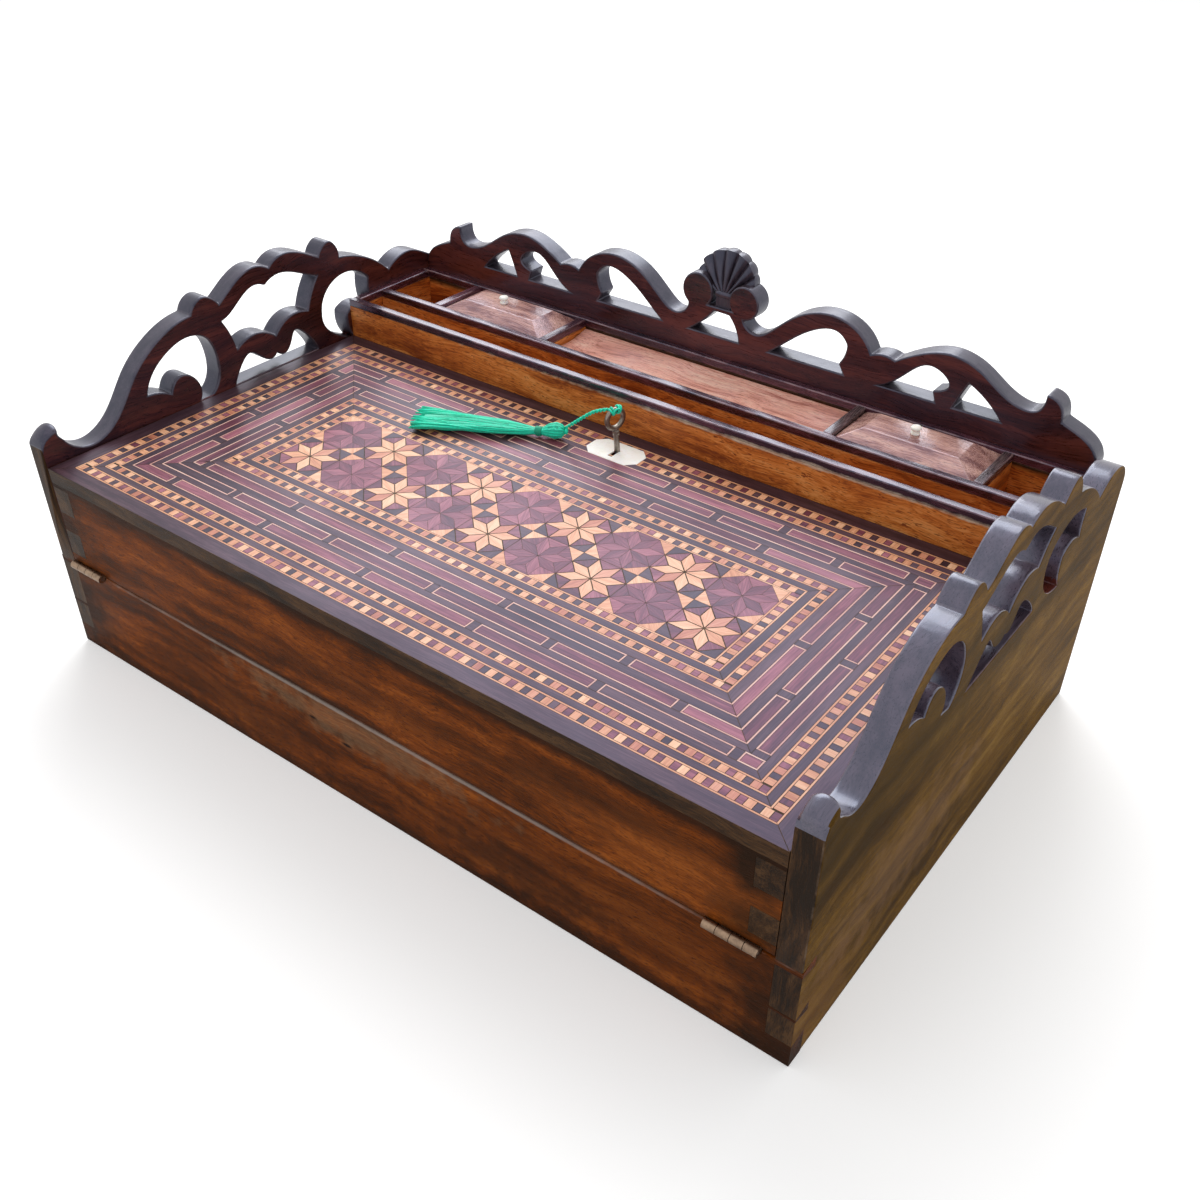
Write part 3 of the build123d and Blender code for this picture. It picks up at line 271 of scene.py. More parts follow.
def makeWood(name, look, axis, marks):
    # Streaks, clouds and fibres add up to the place on the ramp of colours. Pores and checks darken and
    # dent it, marks cover it, and arrises go paler in patches: wear, and on the caps a painted highlight too.
    pattern = grainPattern
    material, add = newMaterial(name)
    coords = add("TexCoord", out="Object")
    wander = add("TexNoise", {"Vector": coords, "Scale": pattern["wanderScale"], "Detail": 2.0}, "Color")
    wander = add("VectorMath", (wander, (0.5, 0.5, 0.5)), operation="SUBTRACT")
    warped = add("VectorMath", (wander, (pattern["wander"],) * 3, coords), operation="MULTIPLY_ADD")
    figureSize, fibreSize, cloudSize, poreSize, checkSize = look["grain"]
    figure = stretchedNoise(add, warped, axis, figureSize, 4.0)
    cloud = stretchedNoise(add, warped, axis, cloudSize, 4.0)
    fibre = stretchedNoise(add, warped, axis, fibreSize, 3.0, 0.65)
    pore = stretchedNoise(add, coords, axis, poreSize, 1.0)
    check = stretchedNoise(add, warped, axis, checkSize, 3.0, 0.6)
    patches = {"Vector": coords, "Scale": pattern["patchScale"], "Detail": 5.0, "Roughness": 0.6}
    patches = add("TexNoise", patches)
    tone = 0.0
    for part, weight in zip((figure, cloud, fibre), pattern["shares"]):
        tone = add("Math", (part, weight, tone), operation="MULTIPLY_ADD")
    tone = add("MapRange", (tone, *pattern["tone"]))
    pores = add("MapRange", (pore, *pattern["pores"], 0.0, poreSize[2]))
    checks = add("MapRange", (check, *pattern["checks"], 0.0, checkSize[2]))
    dents = add("Math", (pores, checks), operation="MAXIMUM")
    layers = [(dents, look["stops"][0][1])]  # how much covers, and in what colour
    for middle, reach, markColour, share, broken in marks:
        place = add("Mapping", {"Vector": coords, "Location": middle, "Scale": reach}, vector_type="TEXTURE")
        far = add("VectorMath", (place,), "Value", operation="LENGTH")
        ragged = add("Math", (patches, 0.5), operation="SUBTRACT")
        ragged = add("Math", (ragged, pattern["ragged"] * broken, far), operation="MULTIPLY_ADD")
        cover = add("MapRange", (ragged, *pattern["markEdge"], share, 0.0))
        thread = add("MapRange", (fibre, *pattern["threads"], 1.0 - 0.5 * broken, 1.0))
        layers.append((add("Math", (cover, thread), operation="MULTIPLY"), markColour))
    arris = add("Attribute", out="Fac", attribute_name="arris")
    wearAndHighlightColour, wearAndHighlightShare = look["worn"]
    wearAndHighlight = add("MapRange", (patches, *pattern["wearAndHighlight"], 0.0, wearAndHighlightShare))
    layers.append((add("Math", (arris, wearAndHighlight), operation="MULTIPLY"), wearAndHighlightColour))
    colour = add("ValToRGB", (tone,), stops=look["stops"])
    for cover, over in layers:
        colour = add("Mix", {0: cover, 6: colour, 7: over}, 2, data_type="RGBA")
    roughness, specular, tint = look["gloss"]
    dull = (roughness + by for by in pattern["duller"])
    dull = add("MapRange", (fibre, *pattern["fibreRange"], *dull))
    height = add("Math", (dents, pattern["dentDepth"], fibre), operation="MULTIPLY_ADD")
    bump = {"Height": height, "Strength": look.get("dents", 0.4), "Distance": pattern["relief"]}
    bump = add("Bump", bump)
    finish = {"Base Color": colour, "Roughness": dull, "Normal": bump, "Specular IOR Level": specular,
              "Specular Tint": tint}
    finish.update(zip(("Coat Weight", "Coat Roughness", "Coat IOR"), look.get("coat", ())))
    return closeMaterial(material, finish)


# Sliced veneers of the lid's parquetry, sanded flat and polished together: the colours of each, and the
# width of its grain lines in mm
veneers = {
    "rosewoodVeneer": (((0.1, "#221518"), (0.5, "#3f2a2f"), (0.9, "#60464c")), 0.7),
    "kingwoodVeneer": (((0.1, "#401a23"), (0.5, "#733a46"), (0.9, "#a5636e")), 0.9),
    "boxwoodVeneer": (((0.1, "#b97853"), (0.5, "#dd9f76"), (0.9, "#f2c59e")), 0.6),
    "tulipwoodVeneer": (((0.1, "#9c5a42"), (0.5, "#c47f60"), (0.9, "#dea384")), 0.7),
    "stringing": (((0.1, "#b98880"), (0.5, "#dbaa9c"), (0.9, "#eccabb")), 0.6),
}


def makeVeneer(name):
    # grain runs along the plate's own u; each plate has its own tone
    stops, line = veneers[name]
    line *= mm
    material, add = newMaterial(name)
    uv = add("UVMap", uv_map="grain")
    tone = add("Attribute", out="Fac", attribute_name="tone")
    fine = add("Mapping", {"Vector": uv, "Scale": (14 * line, line, 1)}, vector_type="TEXTURE")
    fibre = add("TexNoise", {"Vector": fine, "Scale": 1.0, "Detail": 4.0, "Roughness": 0.7})
    broad = add("Mapping", {"Vector": uv, "Scale": (60 * line, 5 * line, 1)}, vector_type="TEXTURE")
    streak = add("TexNoise", {"Vector": broad, "Scale": 1.0, "Detail": 3.0})
    shade = -0.12
    for part, weight in ((add("MapRange", (fibre, 0.3, 0.7)), 0.42),
                         (add("MapRange", (streak, 0.3, 0.7)), 0.37), (tone, 0.5)):
        shade = add("Math", (part, weight, shade), operation="MULTIPLY_ADD")
    coords = add("TexCoord", out="Object")
    haze = add("TexNoise", {"Vector": coords, "Scale": 22.0, "Detail": 3.0})
    return closeMaterial(material, {
        "Base Color": add("ValToRGB", (shade,), stops=stops),
        "Roughness": add("MapRange", (haze, 0.3, 0.7, 0.32, 0.44)),
        "Normal": add("Bump", {"Height": fibre, "Strength": 0.2, "Distance": 0.00008}),
        "Specular IOR Level": 0.4, "Specular Tint": "#ccc8ff"})


def makeBone():
    # polished bone: warm white, with fine straight canals 4 mm long and a little yellowing
    material, add = newMaterial("polishedBone")
    coords = add("TexCoord", out="Object")
    canals = stretchedNoise(add, coords, "x", (4, 0.4), 2.0)
    markColour = add("TexNoise", {"Vector": coords, "Scale": 120.0, "Detail": 3.0})
    colour = add("ValToRGB", (markColour,), stops=((0.3, "#f8f3ea"), (0.6, "#fdfcf8")))
    cover = add("MapRange", (canals, 0.62, 0.7, 0.0, 0.35))
    return closeMaterial(material, {
        "Base Color": add("Mix", {0: cover, 6: colour, 7: "#b9a683"}, 2, data_type="RGBA"),
        "Normal": add("Bump", {"Height": canals, "Strength": 0.15, "Distance": 0.00005}),
        "Roughness": 0.3, "Specular IOR Level": 0.45, "Subsurface Weight": 0.1, "Subsurface Scale": 0.001})


def makeMetal(name, clean, dirty, roughness, dirtShare):
    # filed and handled metal: bright where it is rubbed, dull brown in the hollows
    material, add = newMaterial(name)
    coords = add("TexCoord", out="Object")
    marks = add("TexNoise", {"Vector": coords, "Scale": 420.0, "Detail": 5.0, "Roughness": 0.7})
    arris = add("Attribute", out="Fac", attribute_name="arris")
    dirt = add("MapRange", (marks, 0.3, 0.7, dirtShare - 0.22, dirtShare + 0.22))
    grime = add("Math", (arris, -0.5, dirt), operation="MULTIPLY_ADD", use_clamp=True)
    return closeMaterial(material, {
        "Base Color": add("Mix", {0: grime, 6: clean, 7: dirty}, 2, data_type="RGBA"), "Metallic": 1.0,
        "Roughness": add("MapRange", (grime, 0.0, 1.0, roughness, roughness + 0.25)),
        "Normal": add("Bump", {"Height": marks, "Strength": 0.2, "Distance": 0.0001})})


def makeLeather():
    # dyed and polished goatskin: dark green, with a pebble grain about 1.2 mm wide
    material, add = newMaterial("greenGoatskin")
    coords = add("TexCoord", out="Object")
    pebbles = add("TexVoronoi", {"Vector": coords, "Scale": 800.0}, "Distance")
    patina = add("TexNoise", {"Vector": coords, "Scale": 18.0, "Detail": 5.0})
    colour = add("ValToRGB", (patina,), stops=((0.3, "#1c2e22"), (0.5, "#24392b"), (0.7, "#2e4536")))
    cover = add("MapRange", (pebbles, 0.35, 0.7, 0.0, 0.5))
    bump = {"Height": pebbles, "Strength": 0.4, "Distance": 0.0002}
    return closeMaterial(material, {
        "Base Color": add("Mix", {0: cover, 6: colour, 7: "#0f1912"}, 2, data_type="RGBA"),
        "Normal": add("Bump", bump, invert=True), "Roughness": 0.5, "Specular IOR Level": 0.4})


def makeSilk(name, low, high):
    # dyed viscose thread: a soft sheen, plies that cross it every 1.2 mm or so, and each thread a little
    # lighter or darker than the next
    material, add = newMaterial(name)
    uv = add("UVMap", uv_map="grain")
    tone = add("Attribute", out="Fac", attribute_name="tone")
    plies = add("Mapping", {"Vector": uv, "Scale": (0.0012, 0.0009, 1)}, vector_type="TEXTURE")
    ply = add("TexNoise", {"Vector": plies, "Scale": 1.0, "Detail": 2.0})
    shade = add("MapRange", (ply, 0.3, 0.7))
    shade = add("Math", (shade, 0.3, tone), operation="MULTIPLY_ADD")
    return closeMaterial(material, {
        "Base Color": add("ValToRGB", (shade,), stops=((0.0, low), (1.0, high))),
        "Normal": add("Bump", {"Height": ply, "Strength": 0.4, "Distance": 0.0001}),
        "Roughness": 0.42, "Specular IOR Level": 0.5, "Sheen Weight": 0.12, "Sheen Roughness": 0.4,
        "Sheen Tint": "#c8fff0"})


veneerMaterials = [makeVeneer(name) for name in veneers]
bone = makeBone()
steel = makeMetal("wornSteel", "#b3aaa0", "#453c35", 0.26, 0.45)
brass = makeMetal("tarnishedBrass", "#c4a589", "#54463f", 0.28, 0.5)
leather = makeLeather()
silk = makeSilk("emeraldSilk", "#009f80", "#12ffd2")
darkSilk = makeSilk("emeraldSilkBinding", "#00745a", "#0cc89e")
print("materials made")

earShape = {  # y, z and x in mm
    "foot": {"left": (-139.6, 125.0), "right": (-140.2, 128.0)},  # y and z of its middle
    # how far the ends of the top come down: from y, to y, by
    "ends": {"left": ((-137.0, -133.65, 1.6),), "right": ((-138.5, -134.85, 1.6), (-142.0, -145.65, 2.0))},
    "shrink": 0.48, "rise": 8, "boardMiddle": 224, "halfBoard": 6,
    "cutsOver": (0.0, 1.0, 2.0, 3.0, 4.0, 5.2, 6.4),  # heights over the foot
    "cutsDeep": (-144.6, -143.7, -142.7, -141.4, -139.8, -138.2, -137.0, -136.0),
    "cutsAcross": (219.6, 220.6, 221.8, 223.2, 224.8, 226.2, 227.4, 228.4),
}


def shapeEar(side):
    # The top's ends come down by a square law. Then each point draws in towards the foot's middle by
    # shrink (1 - sqrt(1 - u^2)), u from 0 in the middle of the board to 0.95 at its faces; both grow
    # from nothing at the foot to the full at rise.
    look = earShape
    footY, footZ = look["foot"][side]
    way = -1 if side == "left" else 1

    def frontEdge(face, middle):
        return abs(face.normal.x) < 0.97 and middle.y < -0.1445

    def top(face, middle):
        return middle.y < -0.1285 and middle.z > (footZ - 0.3) * mm and abs(face.normal.x) < 0.3

    def shape(mesh):
        for wanted, normal, places in ((frontEdge, (0, 0, 1), [footZ + over for over in look["cutsOver"]]),
                                       (top, (0, 1, 0), look["cutsDeep"]),
                                       (top, (1, 0, 0), [way * x for x in look["cutsAcross"]])):
            for place in places:
                faces = [face for face in mesh.faces if wanted(face, face.calc_center_median())]
                edges = {edge for face in faces for edge in face.edges}
                verts = {vert for face in faces for vert in face.verts}
                bmesh.ops.bisect_plane(mesh, geom=[*faces, *edges, *verts], dist=1e-7, plane_no=normal,
                                       plane_co=[place * c * mm for c in normal])
        for vert in mesh.verts:
            x, y, z = (c / mm for c in vert.co)
            if y < -128.5 and z > footZ:
                share = min((z - footZ) / look["rise"], 1)
                grown = share * share * (3 - 2 * share)
                for start, end, drop in look["ends"][side]:
                    z -= drop * grown * min(max((y - start) / (end - start), 0), 1) ** 2
                across = 0.95 * min(abs(abs(x) - look["boardMiddle"]) / look["halfBoard"], 1)
                keep = 1 - look["shrink"] * grown * (1 - math.sqrt(1 - across ** 2))
                vert.co.y, vert.co.z = (footY + (y - footY) * keep) * mm, (footZ + (z - footZ) * keep) * mm
    return shape


# Rounding of the arrises in mm; joints that are glued up tight get next to none
arrisWidths = {"gallery": 0.9, "board": 0.8, "joint": 0.15, "tray": 0.4, "cap": 0.7, "lid": 0.5,
               "tile": 0.3, "metal": 0.15}
sharpEdge = math.radians(28)  # an edge that turns by more is an arris


def sideWidth(middle):
    # tight at the front end, where the lid's front shuts against it and the lower board is dovetailed in
    glued = middle.y < -0.1335 and middle.z < 0.1145 and abs(middle.x) < 0.2299
    inJoint = middle.y < -0.1335 and middle.z < 0.0566
    return arrisWidths["joint" if glued or inJoint else "gallery"]


def frontWidth(middle):
    # tight at the glued ends and under the lid's panel
    glued = abs(middle.x) > 0.2045 or middle.z > 0.105
    return arrisWidths["joint" if glued else "board"]


def dressNode(node, finish, rounding=None, shortest=0.0, shaped=None):
    # A CAD node gets its finish. With a rounding, a welded copy takes its place, with every arris longer
    # than shortest (mm) rounded by the named width, or by what the rounding gives at the arris's middle.
    material = wood(*finish) if isinstance(finish, tuple) else finish
    solid = frame["nodes"][node].data
    if rounding is None:
        solid.materials.clear()
        solid.materials.append(material)
        return None
    name = node.replace("_", " ").title().replace(" ", "")
    mesh = bmesh.new()
    mesh.from_mesh(solid)
    bmesh.ops.remove_doubles(mesh, verts=mesh.verts, dist=3e-6)
    bmesh.ops.dissolve_limit(mesh, angle_limit=math.radians(0.6), verts=mesh.verts, edges=mesh.edges)
    arris = mesh.faces.layers.float.new("arris")
    byWidth = {}
    for edge in mesh.edges:
        if edge.calc_face_angle(0) > sharpEdge and edge.calc_length() >= shortest * mm:
            middle = (edge.verts[0].co + edge.verts[1].co) / 2
            width = rounding(middle) if callable(rounding) else arrisWidths[rounding]
            byWidth.setdefault(width, []).append(edge)
    for width in sorted(byWidth, reverse=True):
        edges = [edge for edge in byWidth[width] if edge.is_valid]
        made = bmesh.ops.bevel(mesh, geom=edges, offset=width * mm, offset_type="OFFSET",
                               segments=2, profile=0.5, affect="EDGES", clamp_overlap=False)
        for face in made["faces"]:
            face[arris] = 0.0 if width <= 0.2 else 1.0
    if shaped:
        shaped(mesh)
    for face in mesh.faces:
        face.smooth = True
    data = bpy.data.meshes.new(name)
    mesh.to_mesh(data)
    mesh.free()
    data.materials.append(material)
    piece = addObject(name, data)
    data.set_sharp_from_angle(angle=math.radians(50))
    weighted = piece.modifiers.new("weighted", "WEIGHTED_NORMAL")
    weighted.weight = 80
    weighted.keep_sharp = True
    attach(piece, bodyOf[node])
    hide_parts(node)
    return piece


def paintFaces(piece, material, chosen):
    # the faces whose normal and middle (three rows each: x, y and z) are chosen get another material
    data = piece.data
    data.materials.append(material)
    normals, middles = np.empty(len(data.polygons) * 3), np.empty(len(data.polygons) * 3)
    data.polygons.foreach_get("normal", normals)
    data.polygons.foreach_get("center", middles)
    slots = np.empty(len(data.polygons), np.int32)
    data.polygons.foreach_get("material_index", slots)
    slots[chosen(normals.reshape(-1, 3).T, middles.reshape(-1, 3).T)] = len(data.materials) - 1
    data.polygons.foreach_set("material_index", slots)


sawnAbove = 0.1155  # the sawn edges of the galleries start over the lid
# What nodes are given: a finish (a wood with its grain's direction and marks, or a made material), a
# rounding and the shortest arris that is rounded
sideFinishes = (
    ("slope_rail", ("carcassPine", "y"), "tray"), ("lid_side", ("edgeWalnut", "y"), frontWidth, 3.0),
    ("tray_end_wall", ("trayMahogany", "y"), "tray"), ("cap_end", ("capRosewood", "y"), "cap"),
    ("well_lid", ("wellLidWalnut", "x"), "lid"), ("well_lining", ("trayMahogany", "x")),
    ("hinge_leaf_case hinge_leaf_lid", brass, "metal", math.inf), ("hinge_pin", steel),
)
middleFinishes = (
    ("lower_front_board", ("frontWalnut", "x", "lowerFront"), frontWidth, 8.0),
    ("lid_front_board", ("frontWalnut", "x", "lidFront"), frontWidth, 8.0),
    ("bottom_board", ("carcassPine", "x"), "board"), ("lid_rear_rail", ("frontWalnut", "x"), "tray", 8.0),
    ("writing_flap_lower writing_flap_upper", ("frontWalnut", "x"), "tray"),
    ("writing_leather_lower writing_leather_upper", leather),
    ("tray_front_wall", ("trayMahogany", "x", "frontWall"), "tray", 3.0),
    ("tray_long_divider", ("trayMahogany", "x"), "tray", 3.0),
    ("tray_back_strip", ("trayMahogany", "x", "backStrip"), "tray", 3.0),
    ("tray_floor", ("trayMahogany", "x")), ("pen_tray_lining", ("edgeWalnut", "x")),
    ("cap_front", ("capRosewood", "x", "frontCap"), "cap"),
    ("cap_back cap_divider", ("capRosewood", "x"), "cap"),
    ("cross_divider_1 cross_divider_2 cross_divider_3 cross_divider_4", ("trayMahogany", "y"), "tray"),
    ("cap_cross_1 cap_cross_2", ("capRosewood", "y"), "cap"),
    ("cap_cross_3 cap_cross_4", ("capRosewood", "y", "splinters"), "cap"),
    ("pen_tray", ("penTrayCedar", "x"), "lid"), ("escutcheon", bone, "tile", 2.0),
    ("lid_panel", ("edgeWalnut", "x")), ("lock_case lock_bolt strike_plate", steel, "metal", 3.0),
    ("lid_screws case_screws", steel),
)
# the gallery tops take lit and shaded copies of one rosewood: painted shade on the left, a painted sheen on
# the right
for side, outward, crest in (("left", -1, "paintedShadeRosewood"), ("right", 1, "paintedSheenRosewood")):
    board = dressNode(f"side_board_{side}", ("galleryRosewood", "y"), sideWidth, shaped=shapeEar(side))
    earFoot = earShape["foot"][side][1] * mm
    paintFaces(board, wood(crest, "y"),
               lambda normal, middle: (np.abs(normal[0]) < 0.97) & (middle[2] > sawnAbove))
    paintFaces(board, wood("sideWalnut", "y", "outerSide"), lambda normal, middle: normal[0] * outward > 0.8)
    paintFaces(board, wood("edgeWalnut", "z"),
               lambda normal, middle: (normal[1] < -0.8) & (middle[1] < -0.14) & (middle[2] < earFoot))
    for nodes, *given in sideFinishes:
        for node in nodes.split():
            dressNode(f"{node}_{side}", *given)
back = dressNode("back_board", ("galleryRosewood", "x"), "gallery")
# the back board's tops take the painted shade
paintFaces(back, wood("paintedShadeRosewood", "x"),
           lambda normal, middle: (np.abs(normal[1]) < 0.97) & (middle[2] > sawnAbove))
for nodes, *given in middleFinishes:
    for node in nodes.split():
        dressNode(node, *given)
print("boards, tray and fittings worked")


def circle(count):
    # angles evenly round a circle
    return np.linspace(0, 2 * np.pi, count + 1)[:-1]


def unit(vectors):
    # each vector over its own length
    return vectors / np.linalg.norm(vectors, axis=-1, keepdims=True)


def signedPower(w, p):
    # w to the power p, with the sign of w
    return np.sign(w) * np.abs(w) ** p


def gridFaces(rows, columns, closeRows=False, closeColumns=False, ends=None, start=0):
    # quads between neighbouring points of a grid whose point (i, j) is start + i * columns + j, and one
    # face over each open end, which is a row or a column
    grid = start + np.arange(rows * columns).reshape(rows, columns)
    net = np.concatenate([grid, grid[:1]]) if closeRows else grid
    net = np.concatenate([net, net[:, :1]], 1) if closeColumns else net
    faces = np.stack([net[:-1, :-1], net[:-1, 1:], net[1:, 1:], net[1:, :-1]], -1).reshape(-1, 4).tolist()
    if ends == "rows":
        faces += [grid[0].tolist(), grid[-1, ::-1].tolist()]
    if ends == "columns":
        faces += [grid[:, 0].tolist(), grid[::-1, -1].tolist()]
    return faces


def joinGrids(*grids):
    # the points and faces of several grids, each given with how it closes
    faces, start = [], 0
    for grid, closing in grids:
        faces += gridFaces(*grid.shape[:2], start=start, **closing)
        start += grid.shape[0] * grid.shape[1]
    return np.concatenate([grid.reshape(-1, 3) for grid, closing in grids]), faces


def makePiece(name, points, faces, materials, body, uv=None, tone=None, kinds=None, smooth=True):
    # points in mm; uv for each corner, tone and kind of material for each face
    data = bpy.data.meshes.new(name)
    data.from_pydata((np.asarray(points).reshape(-1, 3) * mm).tolist(), [], faces)
    if uv is not None:
        data.uv_layers.new(name="grain").data.foreach_set("uv", np.asarray(uv, np.float32).ravel())
    if tone is not None:
        layer = data.attributes.new("tone", "FLOAT", "FACE")
        layer.data.foreach_set("value", np.asarray(tone, np.float32))
    for material in materials:
        data.materials.append(material)
    if kinds is not None:
        data.polygons.foreach_set("material_index", np.asarray(kinds, np.int32))
    data.polygons.foreach_set("use_smooth", np.full(len(data.polygons), smooth))
    data.update()
    piece = addObject(name, data)
    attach(piece, body)
    return piece


def tidyNormals(piece):
    # welds the poles, turns the faces outwards and keeps the hard edges hard
    mesh = bmesh.new()
    mesh.from_mesh(piece.data)
    bmesh.ops.remove_doubles(mesh, verts=mesh.verts, dist=1e-6)
    bmesh.ops.recalc_face_normals(mesh, faces=mesh.faces)
    mesh.to_mesh(piece.data)
    mesh.free()
    piece.data.set_sharp_from_angle(angle=math.radians(38))


# The parquetry, in mm on the panel: x from its middle, y from its front edge. t is how far a line lies
# inside the outer edge of the first chequered band.
parquetry = {
    "panel": (217.5, 213.0), "front": -145.65, "top": 115.02, "bottom": 114.6,  # half width and depth
    "outer": (207.6, 8.8, 204.2), "stretch": (1.03, 0.987, 1.0),  # half width, front, rear
    "bands": ((0.0, 6.5), (10.25, 16.1), (52.0, 57.7), (61.7, 67.6)),  # chequered
    # rows of bricks: insets, middles of the gaps along the front and rear, and along the sides
    "rows": (((19.9, 26.5), (-157.2, -89.7, -23.0, 43.5, 109.8, 176.0), (106.5,)),
             ((30.2, 36.7), (-123.2, -55.5, 10.3, 77.0, 143.3), (73.5, 139.5)),
             ((41.2, 47.5), (-157.2, -89.7, -23.0, 43.5, 109.8), (106.5,))),
    "gaps": ((6.5, 10.25), (16.1, 19.9), (26.5, 30.2), (36.7, 41.2), (47.5, 52.0), (57.7, 61.7)),
    "line": 0.9, "string": 0.8, "pitch": 7.3, "darkShare": 0.46, "brickGap": 4.2,
    "cornerBlock": 3.6, "cornerBrick": 8.6,  # in the outer row's rear corners
    "joint": 0.16, "sawnJoint": 0.36, "closeJoint": 0.1,  # filler between plates
    "darkSquares": 0.4, "pinkSquares": 0.3, "purpleBricks": 0.96,  # shares, drawn by chance
    "tiles": (9, 2), "seed": 7, "escutcheon": (0.0, 193.0, 13.0, 7.0),  # middle and half sizes
}
chance = np.random.default_rng(parquetry["seed"])
plates = {3: [], 4: []}  # by number of corners: corners, kind of veneer, grain heading, tone, joint
dark, purple, pale, pink, string = range(5)
nan = np.nan  # stands for a mitre at a strip's end
headings = {"front": 0.0, "rear": 0.0, "left": quarterTurn, "right": quarterTurn}  # of the four sides


def edgesAt(t):
    # the left, right, front and rear edges at inset t, each a little stretched
    halfWidth, front, rear = parquetry["outer"]
    sideways, frontwards, rearwards = parquetry["stretch"]
    return -halfWidth + sideways * t, halfWidth - sideways * t, front + frontwards * t, rear - rearwards * t


def signedArea(corners):
    following = np.roll(corners, -1, axis=1)
    return (corners[..., 0] * following[..., 1] - corners[..., 1] * following[..., 0]).sum(1) / 2


def layPlates(corners, kind, heading, tone, joint=parquetry["joint"]):
    # corners (n, k, 2); kind, heading, tone and joint are one number or n of them
    corners = np.asarray(corners, float)
    n, k = corners.shape[:2]
    turned = signedArea(corners) < 0
    corners[turned] = corners[turned][:, ::-1]
    plates[k].append([corners, *(np.broadcast_to(values, n) for values in (kind, heading, tone, joint))])


def stripCorners(side, starts, ends, t0, t1):
    # quads on one side between insets t0 and t1, from each start to its end
    starts, ends = np.atleast_1d(np.asarray(starts, float)), np.atleast_1d(np.asarray(ends, float))
    corners = []
    for t, s, atStart in ((t0, starts, True), (t0, ends, False), (t1, ends, False), (t1, starts, True)):
        x0, x1, y0, y1 = edgesAt(t)
        low, high = (x0, x1) if side in ("front", "rear") else (y0, y1)
        along = np.where(np.isnan(s), low if atStart else high, s)
        level = np.full_like(along, {"front": y0, "rear": y1, "left": x0, "right": x1}[side])
        corners.append(np.stack([along, level] if side in ("front", "rear") else [level, along], -1))
    return np.stack(corners, 1)


def layStrip(side, starts, ends, t0, t1, kind, tone, turn=0.0):
    # plates along one side, their grain turned from its heading
    layPlates(stripCorners(side, starts, ends, t0, t1), kind, headings[side] + turn, tone)


def layChequers(t0, t1):
    # two fine pale lines with dark and pale squares between them, mitred at the corners
    line = parquetry["line"]
    for side in headings:
        for low, high in ((t0, t0 + line), (t1 - line, t1)):
            layStrip(side, nan, nan, low, high, pale, chance.uniform(0.35, 0.65))
        across = side in ("left", "right")
        low, high = edgesAt(t1 - line)[2:] if across else edgesAt(t0 + line)[:2]
        count = round((high - low) / parquetry["pitch"])
        pitch = (high - low) / count
        starts = low + pitch * np.arange(count) + (pitch * 0.1 if across else 0)
        middles = starts + pitch * (1 - parquetry["darkShare"])
        kinds = np.where(chance.random(count) < parquetry["pinkSquares"], pink, pale)
        layStrip(side, starts, middles, t0 + line, t1 - line, kinds, chance.random(count), quarterTurn)
        kinds = np.where(chance.random(count) < 1 - parquetry["darkSquares"], purple, dark)
        layStrip(side, middles, starts + pitch, t0 + line, t1 - line, kinds, chance.random(count))


def layBricks(side, gaps, first, last, t0, t1):
    # Dark bricks between the middles of their gaps, from first to last, each with a fine pale string
    # round it, but none across a mitre. The gaps are filled with plain dark veneer.
    wide, half = parquetry["string"], parquetry["brickGap"] / 2
    gaps = np.asarray(gaps, float)
    starts, ends = np.concatenate([[first], gaps + half]), np.concatenate([gaps - half, [last]])
    for low, high in ((t0, t0 + wide), (t1 - wide, t1)):
        layStrip(side, starts, ends, low, high, string, chance.uniform(0.1, 0.9, len(starts)))
    for cut, low, high in ((~np.isnan(starts), starts, starts + wide), (~np.isnan(ends), ends - wide, ends)):
        if cut.any():
            layStrip(side, low[cut], high[cut], t0 + wide, t1 - wide, string, 0.5, quarterTurn)
    kinds = np.where(chance.random(len(starts)) < parquetry["purpleBricks"], purple, dark)
    tones = chance.uniform(0.0, 1.0, len(starts))
    layStrip(side, starts + wide, ends - wide, t0 + wide, t1 - wide, kinds, tones)
    layStrip(side, gaps - half, gaps + half, t0, t1, dark, 0.35)


def layRows():
    # three rows of bricks; the outer one stops at plain blocks in the right corners
    ((t0, t1), longGaps, shortGaps), *others = parquetry["rows"]
    block = parquetry["cornerBlock"]
    right, low, high = edgesAt(t0)[1], *edgesAt(t1)[2:]
    for side in ("front", "rear"):
        layBricks(side, longGaps, nan, right, t0, t1)
    layBricks("right", shortGaps, low + block, high - block, t0, t1)
    layBricks("left", (*shortGaps, high - parquetry["cornerBrick"]), nan, nan, t0, t1)
    for start in (low, high - block):
        layStrip("right", start, start + block, t0, t1, dark, 0.4)
    for insets, longGaps, shortGaps in others:
        for side in headings:
            layBricks(side, longGaps if side in ("front", "rear") else shortGaps, nan, nan, *insets)


